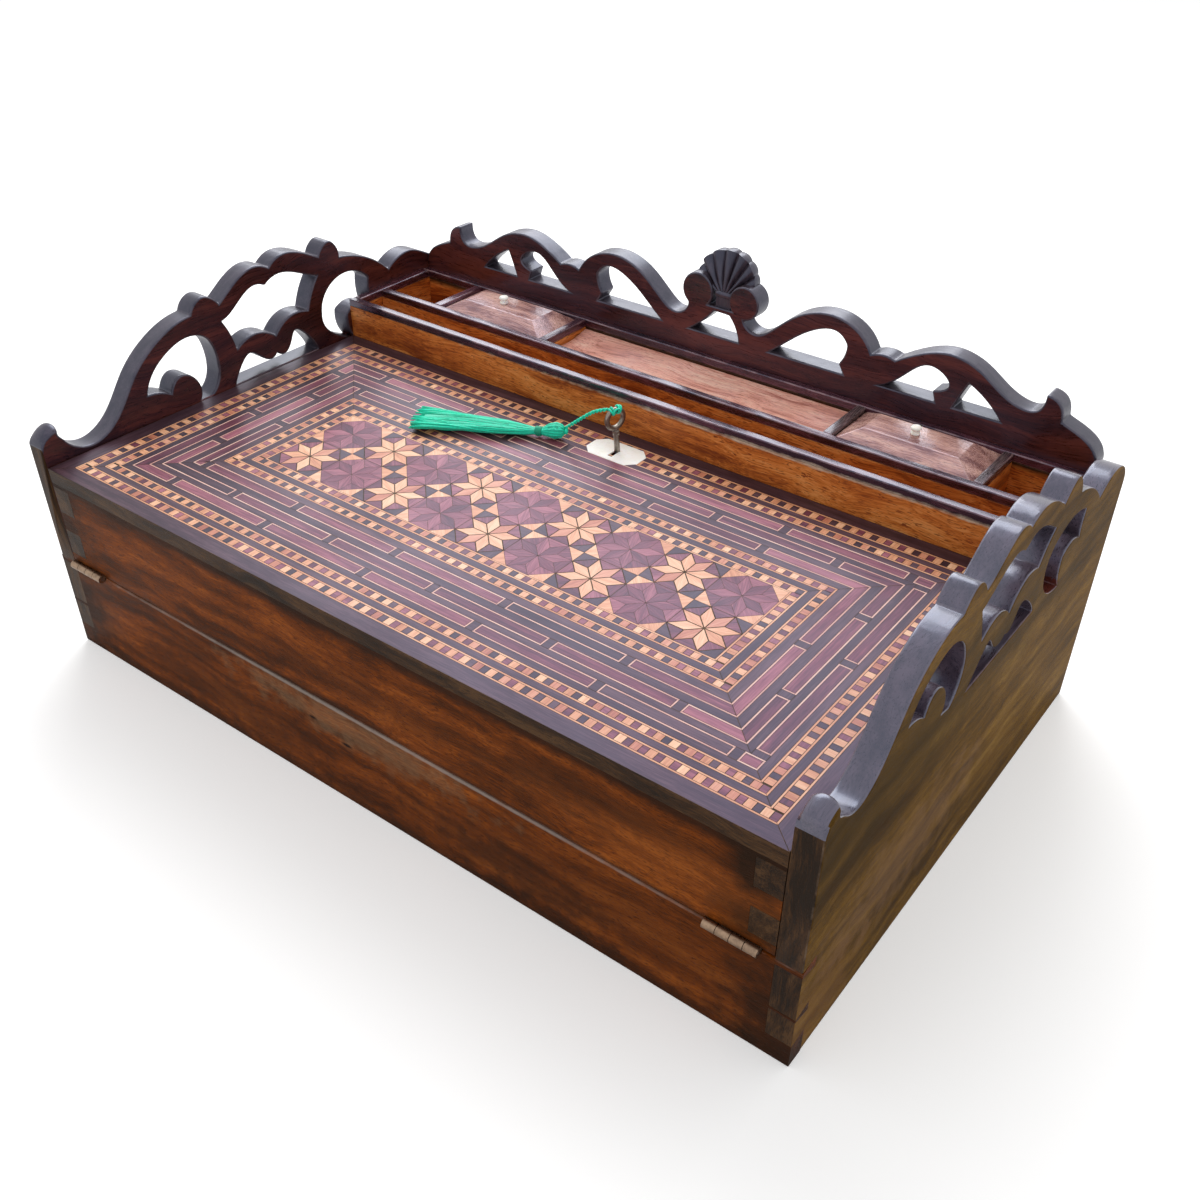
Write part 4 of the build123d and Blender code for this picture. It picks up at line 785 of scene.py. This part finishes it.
def layTiles():
    # Eight-pointed stars in squares: every other tile is a pale star, the rest are purple ones in
    # octagons. With half side 1, the points of a star lie at k = 0.414 and its notches at 1 - k.
    x0, x1, y0, y1 = edgesAt(parquetry["bands"][-1][1])
    columns, rows = parquetry["tiles"]
    k = math.sqrt(2) - 1
    column, row = (place.ravel() for place in np.meshgrid(np.arange(columns), np.arange(rows), indexing="ij"))
    half = np.array([(x1 - x0) / columns / 2, (y1 - y0) / rows / 2])
    centres = np.stack([x0 + half[0] * (2 * column + 1), y0 + half[1] * (2 * row + 1)], -1)
    star = (column + row) % 2 == 0
    rhomb, nextRhomb = ((0, 0), (1 - k, 0), (1, k), (k, k)), ((0, 0), (k, k), (k, 1), (0, 1 - k))
    notch, inner, corner = ((1 - k, 0), (1, -k), (1, k)), ((k, k), (1, k), (k, 1)), ((1, k), (1, 1), (k, 1))
    for quarter, (c, s) in enumerate(((1, 0), (0, 1), (-1, 0), (0, -1))):
        turn = np.array([[c, -s], [s, c]])
        for which, joint, shapes in (
                (star, "sawnJoint", (
                    (rhomb, pale, 1 / 8, 0.55, 1.0), (nextRhomb, (pink, pale)[quarter % 2], 3 / 8, 0.3, 0.9),
                    (notch, purple, 1 / 2, 0.0, 0.8), (inner, purple, 1 / 4, 0.0, 0.9),
                    (corner, dark, 0.0, 0.0, 0.6))),
                (~star, "closeJoint", (
                    (rhomb, purple, 1 / 8, 0.55, 1.0), (nextRhomb, purple, 3 / 8, 0.0, 0.35),
                    (notch, purple, 1 / 2, 0.1, 0.9), (inner, purple, 1 / 4, 0.2, 1.0),
                    (corner, pale, 1 / 4, 0.2, 0.9)))):
            for shape, kind, heading, low, high in shapes:  # grain's heading in half turns, range of tones
                corners = centres[which][:, None, :] + (np.array(shape, float) @ turn.T)[None] * half
                layPlates(corners, kind, heading * math.pi + quarter * quarterTurn,
                          chance.uniform(low, high, int(which.sum())), parquetry[joint])


def layPattern():
    halfPanel, depth = parquetry["panel"]
    outer, inner = ([(x0, y0), (x1, y0), (x1, y1), (x0, y1)]
                    for x0, x1, y0, y1 in ((-halfPanel, halfPanel, 0.0, depth), edgesAt(0)))
    for k in range(4):  # the plain border, mitred at the panel's corners
        following = (k + 1) % 4
        layPlates([[outer[k], outer[following], inner[following], inner[k]]], dark, k % 2 * quarterTurn, 0.5)
    for t0, t1 in parquetry["gaps"]:
        for side in headings:
            layStrip(side, nan, nan, t0, t1, dark, chance.uniform(0.2, 0.8))
    for t0, t1 in parquetry["bands"]:
        layChequers(t0, t1)
    layRows()
    layTiles()


def makeParquetry():
    # Each plate is a flat prism. Every edge of it moves in by the width of its joint: a corner moves along
    # the sum of its two inward normals, over one plus their dot product.
    points, faces, uvs, tones, kinds, total = [], [], [], [], [], 0
    middleX, middleY, halfWide, halfDeep = parquetry["escutcheon"]
    for k, groups in plates.items():
        corners, kind, heading, tone, joint = (np.concatenate(values) for values in zip(*groups))
        centre = corners.mean(1)
        # small plates under the escutcheon are left out
        small = np.ptp(corners[..., 0], axis=1) < 12  # mm
        near = (np.abs(centre[:, 0] - middleX) < halfWide) & (np.abs(centre[:, 1] - middleY) < halfDeep)
        corners, kind, heading, tone, joint = (
            values[~(small & near)] for values in (corners, kind, heading, tone, joint))
        run = np.roll(corners, -1, axis=1) - corners
        length = np.linalg.norm(run, axis=-1, keepdims=True)
        inward = np.stack([-run[..., 1], run[..., 0]], -1) / length
        before = np.roll(inward, 1, axis=1)
        thickness = 2 * signedArea(corners) / length.sum((1, 2))
        joint = np.minimum(joint, 0.09 * thickness)[:, None, None]
        inside = corners + (inward + before) * joint / (1 + (inward * before).sum(-1, keepdims=True))
        n = len(inside)
        place = np.empty((n, 2 * k, 3))
        place[:, :k, :2] = place[:, k:, :2] = inside
        place[:, :k, 2], place[:, k:, 2] = parquetry["top"], parquetry["bottom"]
        place[..., 1] += parquetry["front"]
        points.append(place.reshape(-1, 3))
        ring = np.arange(k)
        following = (ring + 1) % k
        base = (total + 2 * k * np.arange(n))[:, None]
        walls = np.stack([ring, ring + k, following + k, following], -1)
        faces += (base + ring).tolist() + (base + k + ring[::-1]).tolist()
        faces += (base[:, None] + walls[None]).reshape(-1, 4).tolist()
        cos, sin = np.cos(heading)[:, None], np.sin(heading)[:, None]
        flat = np.stack([inside[..., 0] * cos + inside[..., 1] * sin + tone[:, None] * 900,
                         inside[..., 1] * cos - inside[..., 0] * sin + tone[:, None] * 700], -1) * mm
        wallUv = flat[:, np.stack([ring, ring, following, following], -1)]
        uvs += [flat.reshape(-1, 2), flat[:, ::-1].reshape(-1, 2), wallUv.reshape(-1, 2)]
        tones += [tone, tone, np.repeat(tone, k)]
        kinds += [kind, kind, np.repeat(kind, k)]
        total += 2 * k * n
    piece = makePiece("parquetryPlates", np.concatenate(points), faces, veneerMaterials, "lid",
                      np.concatenate(uvs), np.concatenate(tones), np.concatenate(kinds), smooth=False)
    print("parquetry plates", sum(len(group[0]) for groups in plates.values() for group in groups))


layPattern()
makeParquetry()
dressNode("parquetry_veneer", ("edgeWalnut", "x"))
print("parquetry laid")

shellCarving = {  # mm
    "face": 137.35, "back": 149.35,  # y of the gallery's faces
    "hub": (4.2, 174.6), "hubHalfWidth": 4.4, "centre": (4.0, 180.0), "radius": 16.6, "halfAngle": 98.0,
    "ribs": 7, "scallop": 0.9, "leftwards": 1.17, "grooveDepth": 2.3, "setBack": (0.7, 5.4), "fall": 1.7,
    "edge": ((0.0, 0.06), (0.1, 0.2), (-0.05, 0.9), (-0.35, 1.0)),  # out from the rim, share of the way back
    "tie": (4.3, 173.6, 5.4, 1.9), "tieFront": 2.4, "tieSwell": 2.9,  # middle x and z, half length and height
    "stub": (4.2, 4.7, 164.6, 172.6), "stubHollow": (1.2, 0.9),  # middle x, half width, low and high z
}


def makeShell():
    # Ribs fan out from the hub. A point at share v from the hub to the rim, at angle share u, lies on the
    # line from the hub's edge to the scalloped rim; it is set back by a power of v, and deeper by the
    # groove's depth where the lobe of its rib runs out.
    look = shellCarving
    columns = look["ribs"] * 12 + 1
    u = np.linspace(-1, 1, columns)
    lobe = 1 - np.abs(2 * ((u + 1) / 2 * look["ribs"] % 1.0) - 1) ** 2.2
    turn = np.radians(look["halfAngle"]) * u
    radius = look["radius"] - look["scallop"] * (1 - lobe)
    rim = np.stack([look["centre"][0] + radius * np.sin(turn) * np.where(u < 0, look["leftwards"], 1.0),
                    look["centre"][1] + radius * np.cos(turn)], -1)
    hub = np.stack([look["hub"][0] + look["hubHalfWidth"] * u, np.full_like(u, look["hub"][1])], -1)
    v = np.linspace(0, 1, 16)[:, None]
    flat = hub[None] * (1 - v[..., None]) + rim[None] * v[..., None]
    near, far = look["setBack"]
    groove = look["grooveDepth"] * np.clip(v * 3, 0.2, 1) * (1 - lobe)[None]
    depth = look["face"] + near + (far - near) * v ** look["fall"] + groove
    front = np.concatenate([flat[..., :1], depth[..., None], flat[..., 1:]], -1)
    # over the rim: a rounded edge, then straight to the back and down it to the hub
    rolls = []
    for out, share in look["edge"]:
        place = rim + unit(rim - np.array(look["centre"])) * out
        rolls.append(np.stack([place[:, 0], depth[-1] + (look["back"] - depth[-1]) * share, place[:, 1]], -1))
    back = np.stack([hub[:, 0], np.full(columns, look["back"]), hub[:, 1]], -1)
    fan = np.concatenate([front, np.stack(rolls), back[None]])
    # the tie: a bar with a superellipse section that swells in the middle and closes at its ends
    x, z, halfLength, halfHigh = look["tie"]
    a, b = circle(32), np.linspace(0, np.pi, 19)[:, None]
    swell = np.sin(b) ** 0.35 * (1 + 0.06 * np.cos(b * 2))
    out = look["tieFront"] - look["tieSwell"] * swell * signedPower(np.cos(a), 0.6)
    bar = np.stack([x - halfLength * np.cos(b) * np.ones(32), look["face"] + out,
                    z + halfHigh * swell * signedPower(np.sin(a), 0.7)], -1)
    bar[..., 1] += 0.25 * np.abs(np.sin(a * 1.5)) * swell
    # the stub between the volutes: its face is hollowed by a square law
    x, halfWidth, low, high = look["stub"]
    w, h = np.meshgrid(np.linspace(-1, 1, 13), np.linspace(low, high, 7))
    setIn, hollow = look["stubHollow"]
    frontFace = np.stack([x + halfWidth * w, look["face"] + setIn + hollow * (1 - w ** 2), h], -1)
    backFace = frontFace[::-1].copy()
    backFace[..., 1] = look["back"]
    points, faces = joinGrids((fan, {"closeRows": True, "ends": "columns"}), (bar, {"closeColumns": True}),
                              (np.concatenate([frontFace, backFace]), {"closeRows": True, "ends": "columns"}))
    # the shell takes the painted shade rosewood, with its dull grey painted sheen
    piece = makePiece("carvedShell", points, faces, [wood("paintedShadeRosewood", "z")], "case")
    tidyNormals(piece)
    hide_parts("shell_crest")


makeShell()
print("shell carved")

knobTurning = {
    # distance from the axis and height, mm, from the seat up over the head
    "profile": ((0.0, 0.0), (2.3, 0.0), (2.5, 0.25), (2.5, 0.9), (2.2, 1.25), (1.6, 1.5), (1.45, 1.95),
                (1.7, 2.3), (2.5, 2.6), (2.88, 3.1), (2.85, 3.55), (2.4, 4.2), (1.5, 4.55), (0.0, 4.65)),
    "seat": 142.0, "y": 113.85, "x": {"left": -133.15, "right": 135.2},
}


def makeKnob(side):
    # the profile, eased by averaging each point with its neighbours, turned round its axis
    look = knobTurning
    profile = np.array(look["profile"])
    share = np.linspace(0, len(profile) - 1, 41)
    eased = np.stack([np.interp(share, np.arange(len(profile)), profile[:, c]) for c in (0, 1)], -1)
    eased[1:-1] = (eased[:-2] + 2 * eased[1:-1] + eased[2:]) / 4
    a = circle(32)
    points = np.stack([look["x"][side] + eased[:, :1] * np.cos(a), look["y"] + eased[:, :1] * np.sin(a),
                       look["seat"] + eased[:, 1:] * np.ones_like(a)], -1)
    piece = makePiece("knob" + side.title(), points, gridFaces(41, 32, closeColumns=True), [bone],
                      f"well_lid_{side}")
    tidyNormals(piece)
    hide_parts(f"knob_{side}")


keyForging = {  # mm
    "axis": (0.0, 48.35), "lean": (-1.0, -1.0), "bend": 115.8, "footRadius": 1.55,
    "bow": 134.1, "bowRadius": 5.2, "wire": (1.35, 1.2), "heading": 74.0,
    # share of the way to the bow and radius: the foot, a plain run, two filed collars under the bow
    "shank": ((0, 1.55), (0, 1.55), (0.5, 1.5), (0.62, 1.5), (0.64, 1.85), (0.7, 1.85), (0.72, 1.45),
              (0.76, 1.45), (0.78, 1.9), (0.84, 1.9), (0.86, 1.5), (0.93, 1.35), (1.0, 1.2)),
    # the bit's thickness in x, and its outline in y and z with a notch in its edge
    "bit": ((-1.0, 1.0), ((48.35, 99.3), (41.85, 99.3), (41.85, 101.5), (43.45, 101.5), (43.45, 102.7),
                          (41.85, 102.7), (41.85, 105.5), (48.35, 105.5))),
}


def bowFrame():
    # the middle of the key's bow, and the directions along and across its ring
    look = keyForging
    heading = math.radians(look["heading"])
    centre = np.array([look["axis"][0] + look["lean"][0], look["axis"][1] + look["lean"][1], look["bow"]])
    return (centre, np.array([math.cos(heading), math.sin(heading), 0]),
            np.array([-math.sin(heading), math.cos(heading), 0]))


def makeKey():
    # bow: a ring with a flattened section; shank: a profile along its leaning axis; bit: a filed plate
    look = keyForging
    centre, sideways, normal = bowFrame()
    a, b = circle(64)[:, None, None], circle(20)[None, :, None]
    wide, thick = look["wire"]
    reach = look["bowRadius"] + wide * signedPower(np.cos(b), 0.75)
    across = thick * signedPower(np.sin(b), 0.75)
    ring = centre + (np.cos(a) * upwards + np.sin(a) * sideways) * reach + normal * across
    low = np.array([*look["axis"], look["bend"]])
    length = np.linalg.norm(centre - low) - look["bowRadius"] + 0.6
    lean = unit(centre - low)
    share, radius = np.array(look["shank"]).T
    side = unit(np.cross(lean, [0, 1.0, 0]))
    c = circle(24)[None, :, None]
    shank = (low + lean * (share * length)[:, None])[:, None] + \
        radius[:, None, None] * (np.cos(c) * side + np.sin(c) * np.cross(side, lean))
    foot = np.stack([np.cos(c[0, :, 0]), np.sin(c[0, :, 0])], -1)  # upright, where it enters the lock
    shank[0, :, :2] = np.array(look["axis"]) + look["footRadius"] * foot
    shank[0, :, 2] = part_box("key")[0][2] / mm
    thickness, outline = look["bit"]
    plate = np.stack([np.insert(np.array(outline), 0, x, axis=1) for x in thickness])
    closed, capped = {"closeRows": True, "closeColumns": True}, {"closeColumns": True, "ends": "rows"}
    points, faces = joinGrids((ring, closed), (shank, capped), (plate, capped))
    piece = makePiece("key", points, faces, [steel], "key")
    tidyNormals(piece)
    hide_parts("key")


for side in ("left", "right"):
    makeKnob(side)
makeKey()
print("knobs and key made")

tasselLook = {
    "head": (-34.4, 39.05), "heading": 204.7, "ground": 115.3,
    # distance from the head's centre, half width, half height, height of the middle; mm
    "stations": ((-6.1, 0.9, 0.9, 4.9), (-5.3, 2.3, 2.3, 4.8), (-3.6, 3.9, 3.9, 4.7),
                 (-1.0, 4.65, 4.65, 4.7), (1.5, 4.5, 4.5, 4.6), (4.0, 3.5, 3.5, 4.2),
                 (6.2, 2.4, 2.4, 3.6), (7.6, 1.95, 1.95, 3.2), (10.8, 1.95, 1.95, 3.15),
                 (13.5, 2.7, 2.5, 2.9), (18.0, 3.8, 3.0, 3.0), (27.0, 5.8, 3.4, 3.4),
                 (48.0, 7.6, 3.6, 3.6), (66.0, 10.2, 3.5, 3.5), (78.0, 12.8, 3.3, 3.3)),
    "threads": 230, "threadRadius": 0.42, "sides": 4, "knots": 18, "seed": 11,
    "lengths": (73.5, 78.5), "shortBy": 6.0, "shortShare": 0.08, "inset": 0.45,
    "looseFrom": 14, "looseOver": 62,
    "core": (-5.6, 72.0), "coreIn": 0.75,
    # coils: radius, height of the middle, from, how far on, turns, points, thread radius
    "binding": (2.35, 3.2, 7.4, 3.2, 5.5, 120, 0.42), "crown": (1.35, 4.9, -5.9, -0.7, 2.5, 60, 0.5),
}
axisHeading = math.radians(tasselLook["heading"])
tasselAlong = np.array([math.cos(axisHeading), math.sin(axisHeading), 0.0])
tasselAcross = np.array([math.sin(axisHeading), -math.cos(axisHeading), 0.0])


def tasselPlace(along, across, up):
    # from the tassel's own lengths to the box's, in mm
    return np.array([*tasselLook["head"], tasselLook["ground"]]) + along[..., None] * tasselAlong + \
        across[..., None] * tasselAcross + up[..., None] * upwards


def lineFrame(centres, reference):
    # two directions square to a line of points and to each other; the first is square to the reference
    ahead = unit(np.gradient(centres, axis=-2))
    side = unit(np.cross(ahead, reference))
    return side, np.cross(side, ahead)


def strandMesh(name, centres, radius, sides, reference, material, tone):
    # Closed tubes round lines of points (strand, station), in mm: each side's corner stands off the line
    # by the radius, cos a to the side and sin a up. u is the length along the strand, v the way round it.
    strands, stations = centres.shape[:2]
    side, top = (way[:, :, None] for way in lineFrame(centres, reference))
    a = circle(sides)[:, None]
    reach = np.broadcast_to(np.asarray(radius, float), (strands, stations))[..., None, None]
    points = centres[:, :, None] + reach * (np.cos(a) * side + np.sin(a) * top)
    quads = np.array(gridFaces(stations, sides, closeColumns=True))
    base = np.arange(strands)[:, None, None] * stations * sides
    ends = np.stack([np.arange(sides)[::-1], (stations - 1) * sides + np.arange(sides)])
    steps = np.linalg.norm(np.diff(centres, axis=1), axis=-1)
    run = np.concatenate([np.zeros((strands, 1)), np.cumsum(steps, 1)], 1)[:, quads // sides]
    around = (quads[:, :1] % sides + np.array([0, 1, 1, 0])) * np.mean(radius) * 2 * np.pi / sides
    uv = np.stack([run * mm, around * mm + tone[:, None, None] * 0.5], -1).reshape(-1, 2)
    faces = (base + quads).reshape(-1, 4).tolist() + (base + ends).reshape(-1, sides).tolist()
    uv = np.concatenate([uv, np.zeros((ends.size * strands, 2))])
    tones = np.concatenate([np.repeat(tone, len(quads)), np.repeat(tone, 2)])
    return makePiece(name, points, faces, [material], "key", uv, tones)


def makeCoil(name, material, tone, radius, height, start, onward, turns, count, threadRadius):
    # close turns of one thread round the tassel's axis
    a = np.linspace(0, turns * 2 * np.pi, count)[None]
    line = tasselPlace(start + onward * a / a.max(), radius * np.cos(a), height + radius * np.sin(a))
    return strandMesh(name, line, threadRadius, 6, tasselAlong, material, np.array([tone]))


def makeTassel():
    # Each thread keeps its own turn and share of the section at every station, and drifts and waves
    # sideways as it nears its end. The core that the threads lie on fills the section.
    look = tasselLook
    rng = np.random.default_rng(look["seed"])
    n, m = look["threads"], look["knots"]
    stations = np.array(look["stations"])
    first, threadRadius = stations[0, 0], look["threadRadius"]
    turn = (np.arange(n) * 2.39996 + rng.normal(0, 0.1, n))[:, None]  # the golden angle spreads them
    share = np.sqrt(rng.uniform(0.45, 1.0, n))[:, None]
    ends = rng.uniform(*look["lengths"], n)[:, None]
    ends -= look["shortBy"] * (rng.random(n)[:, None] < look["shortShare"])
    along = first + (ends - first) * np.linspace(0, 1, m)[None] ** 1.25
    wide, high, middle = (np.interp(along, stations[:, 0], stations[:, c]) for c in (1, 2, 3))
    loose = np.clip((along - look["looseFrom"]) / look["looseOver"], 0, 1)
    drift = turn + rng.normal(0, 0.35, n)[:, None] * loose + 0.12 * np.sin(along / 9 + turn * 3)
    wave = rng.normal(0, 0.5, n)[:, None] * np.sin(along / rng.uniform(7, 15, n)[:, None] + turn * 5) * loose
    across = (wide - look["inset"]) * share * np.cos(drift) + wave
    up = middle + (high - look["inset"]) * share * np.sin(drift) + 0.4 * wave
    up = np.maximum(up, look["inset"])  # never into the lid
    radius = np.full((n, m), threadRadius)
    radius[:, -1] *= 0.8
    centres, tones = tasselPlace(along, across, up), rng.uniform(0.0, 0.75, n)
    threads = strandMesh("tasselThreads", centres, radius, look["sides"], upwards, silk, tones)
    s = np.linspace(*look["core"], 40)[:, None]
    wide, high, middle = (np.interp(s, stations[:, 0], stations[:, c]) for c in (1, 2, 3))
    a = circle(48)
    ridge = 1 + 0.05 * np.cos(a * 11)
    core = tasselPlace(s + 0 * a, (wide - look["coreIn"]) * np.cos(a) * ridge,
                       middle + (high - look["coreIn"]) * np.sin(a) * ridge)
    faces = gridFaces(40, 48, closeColumns=True, ends="rows")
    solid = makePiece("tasselCore", core, faces, [silk], "key", np.zeros((sum(map(len, faces)), 2)),
                      np.full(len(faces), 0.1))
    tidyNormals(solid)
    binding = makeCoil("tasselBinding", darkSilk, 0.3, *look["binding"])
    crown = makeCoil("tasselCrown", silk, 0.6, *look["crown"])
    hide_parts("tassel")


cordLook = {
    # the cord's own route, in metres, from the bow down to the tassel's head
    "route": ((-0.0043, 0.04535, 0.1391), (-0.0085, 0.04425, 0.1377), (-0.0134, 0.04365, 0.1352),
              (-0.0205, 0.04265, 0.1293), (-0.02905, 0.0415, 0.1221)),
    "diameter": 0.0021, "strands": 2, "twist": 0.0046,
    "wraps": (-31, -19, 14, 27), "bight": (-4, 26),  # degrees round the bow: middles; middle and reach
}


def followCord():
    # points of the smooth spline that the route's points control
    data = bpy.data.curves.new("cordLine", "CURVE")
    data.dimensions = "3D"
    spline = data.splines.new("NURBS")
    spline.points.add(len(cordLook["route"]) - 1)
    for point, place in zip(spline.points, cordLook["route"]):
        point.co = (*place, 1)
    spline.order_u = 3
    spline.use_endpoint_u = True
    spline.resolution_u = 16
    line = bpy.data.objects.new("cordLine", data)
    mesh = bpy.data.meshes.new_from_object(line)
    places = np.empty(len(mesh.vertices) * 3)
    mesh.vertices.foreach_get("co", places)
    bpy.data.objects.remove(line)
    bpy.data.curves.remove(data)
    bpy.data.meshes.remove(mesh)
    return places.reshape(-1, 3)


def makeCord():
    # Strands laid round the cord's line, a full turn every twist. Then the wraps of the doubled cord over
    # the top of the bow, small circles round its wire, and the bight that crosses them, a parabola.
    look = cordLook
    path = followCord()
    run = np.concatenate([[0], np.cumsum(np.linalg.norm(np.diff(path, axis=0), axis=1))])
    fine = np.linspace(0, run[-1], 70)
    line = np.stack([np.interp(fine, run, path[:, c]) for c in range(3)], -1)
    side, top = lineFrame(line, [0, 1.0, 0])
    radius = look["diameter"] / 4
    turn = fine[None] / look["twist"] * 2 * np.pi + circle(look["strands"])[:, None]
    centres = line + radius * (np.cos(turn)[..., None] * side + np.sin(turn)[..., None] * top)
    tones = np.array([0.35, 0.6])
    cord = strandMesh("tasselCord", centres / mm, radius / mm, 8, [0, 1.0, 0], silk, tones)
    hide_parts("tassel_cord")
    centre, sideways, normal = bowFrame()

    def overBow(lean, out, across):
        radial = np.cos(lean)[..., None] * upwards + np.sin(lean)[..., None] * sideways
        return centre + radial * (keyForging["bowRadius"] + out)[..., None] + normal * across[..., None]
    a = np.linspace(0, 2 * np.pi, 25)[None]
    wraps = overBow(np.radians(look["wraps"])[:, None] + 0.05 * np.sin(a), 1.95 * np.cos(a), 1.85 * np.sin(a))
    knot = strandMesh("cordWraps", wraps, 0.6, 7, sideways, silk, np.array([0.5, 0.35, 0.55, 0.4]))
    b = np.linspace(-1, 1, 15)[None]
    middle, half = np.radians(look["bight"])
    bight = overBow(middle + half * b, 1.2 - 1.4 * b ** 2, 0.5 * b ** 2 - 2.3)
    bight = strandMesh("cordBight", bight, 0.6, 7, normal, silk, np.array([0.45]))
    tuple(look["route"][0])
    print("cord length", round(float(run[-1]), 4))


makeTassel()
makeCord()
print("tassel made")

studio = {"diffuseLight": 0.78, "floor": "#f2f2f2", "floorLift": 0.3, "halfFloor": 6,
          "lamp": 17.0, "lampPlace": (-0.6, 0.85, 1.05), "lampSize": 1.2, "aim": (0, 0, 0.05)}


def makeStudio():
    # a pale floor that looks white to the camera, a plain white world and one soft lamp
    look = studio
    half = look["halfFloor"]
    data = bpy.data.meshes.new("floor")
    corners = [(-half, -half, 0), (half, -half, 0), (half, half, 0), (-half, half, 0)]
    data.from_pydata(corners, [], [(0, 1, 2, 3)])
    addObject("floor", data)
    material, add = newMaterial("paintedFloor")
    seen = add("LightPath", out="Is Camera Ray")
    lift = add("MapRange", (seen, 0.0, 1.0, 0.0, look["floorLift"]))
    data.materials.append(closeMaterial(material, {
        "Base Color": look["floor"], "Roughness": 0.9, "Specular IOR Level": 0.0,
        "Emission Color": (1, 1, 1, 1), "Emission Strength": lift}))
    world = bpy.data.worlds.new("studio")
    bpy.context.scene.world = world
    add = emptyTree(world)
    rays = add("LightPath").node.outputs
    seen = add("Math", (rays["Is Camera Ray"], rays["Is Glossy Ray"]), operation="MAXIMUM")
    seen = add("Math", (seen, rays["Is Transmission Ray"]), operation="MAXIMUM")
    strength = add("MapRange", (seen, 0.0, 1.0, look["diffuseLight"], 1.0))
    add("OutputWorld", (add("Background", ((1, 1, 1, 1), strength)),))
    lampData = bpy.data.lights.new("softLamp", "AREA")
    lampData.energy, lampData.size = look["lamp"], look["lampSize"]
    lamp = addObject("softLamp", lampData)
    lamp.location = look["lampPlace"]
    lamp.rotation_euler = (Vector(look["aim"]) - lamp.location).to_track_quat("-Z", "Y").to_euler()
    bpy.context.scene.view_settings.view_transform = "Standard"


makeStudio()
print("floor and light set")
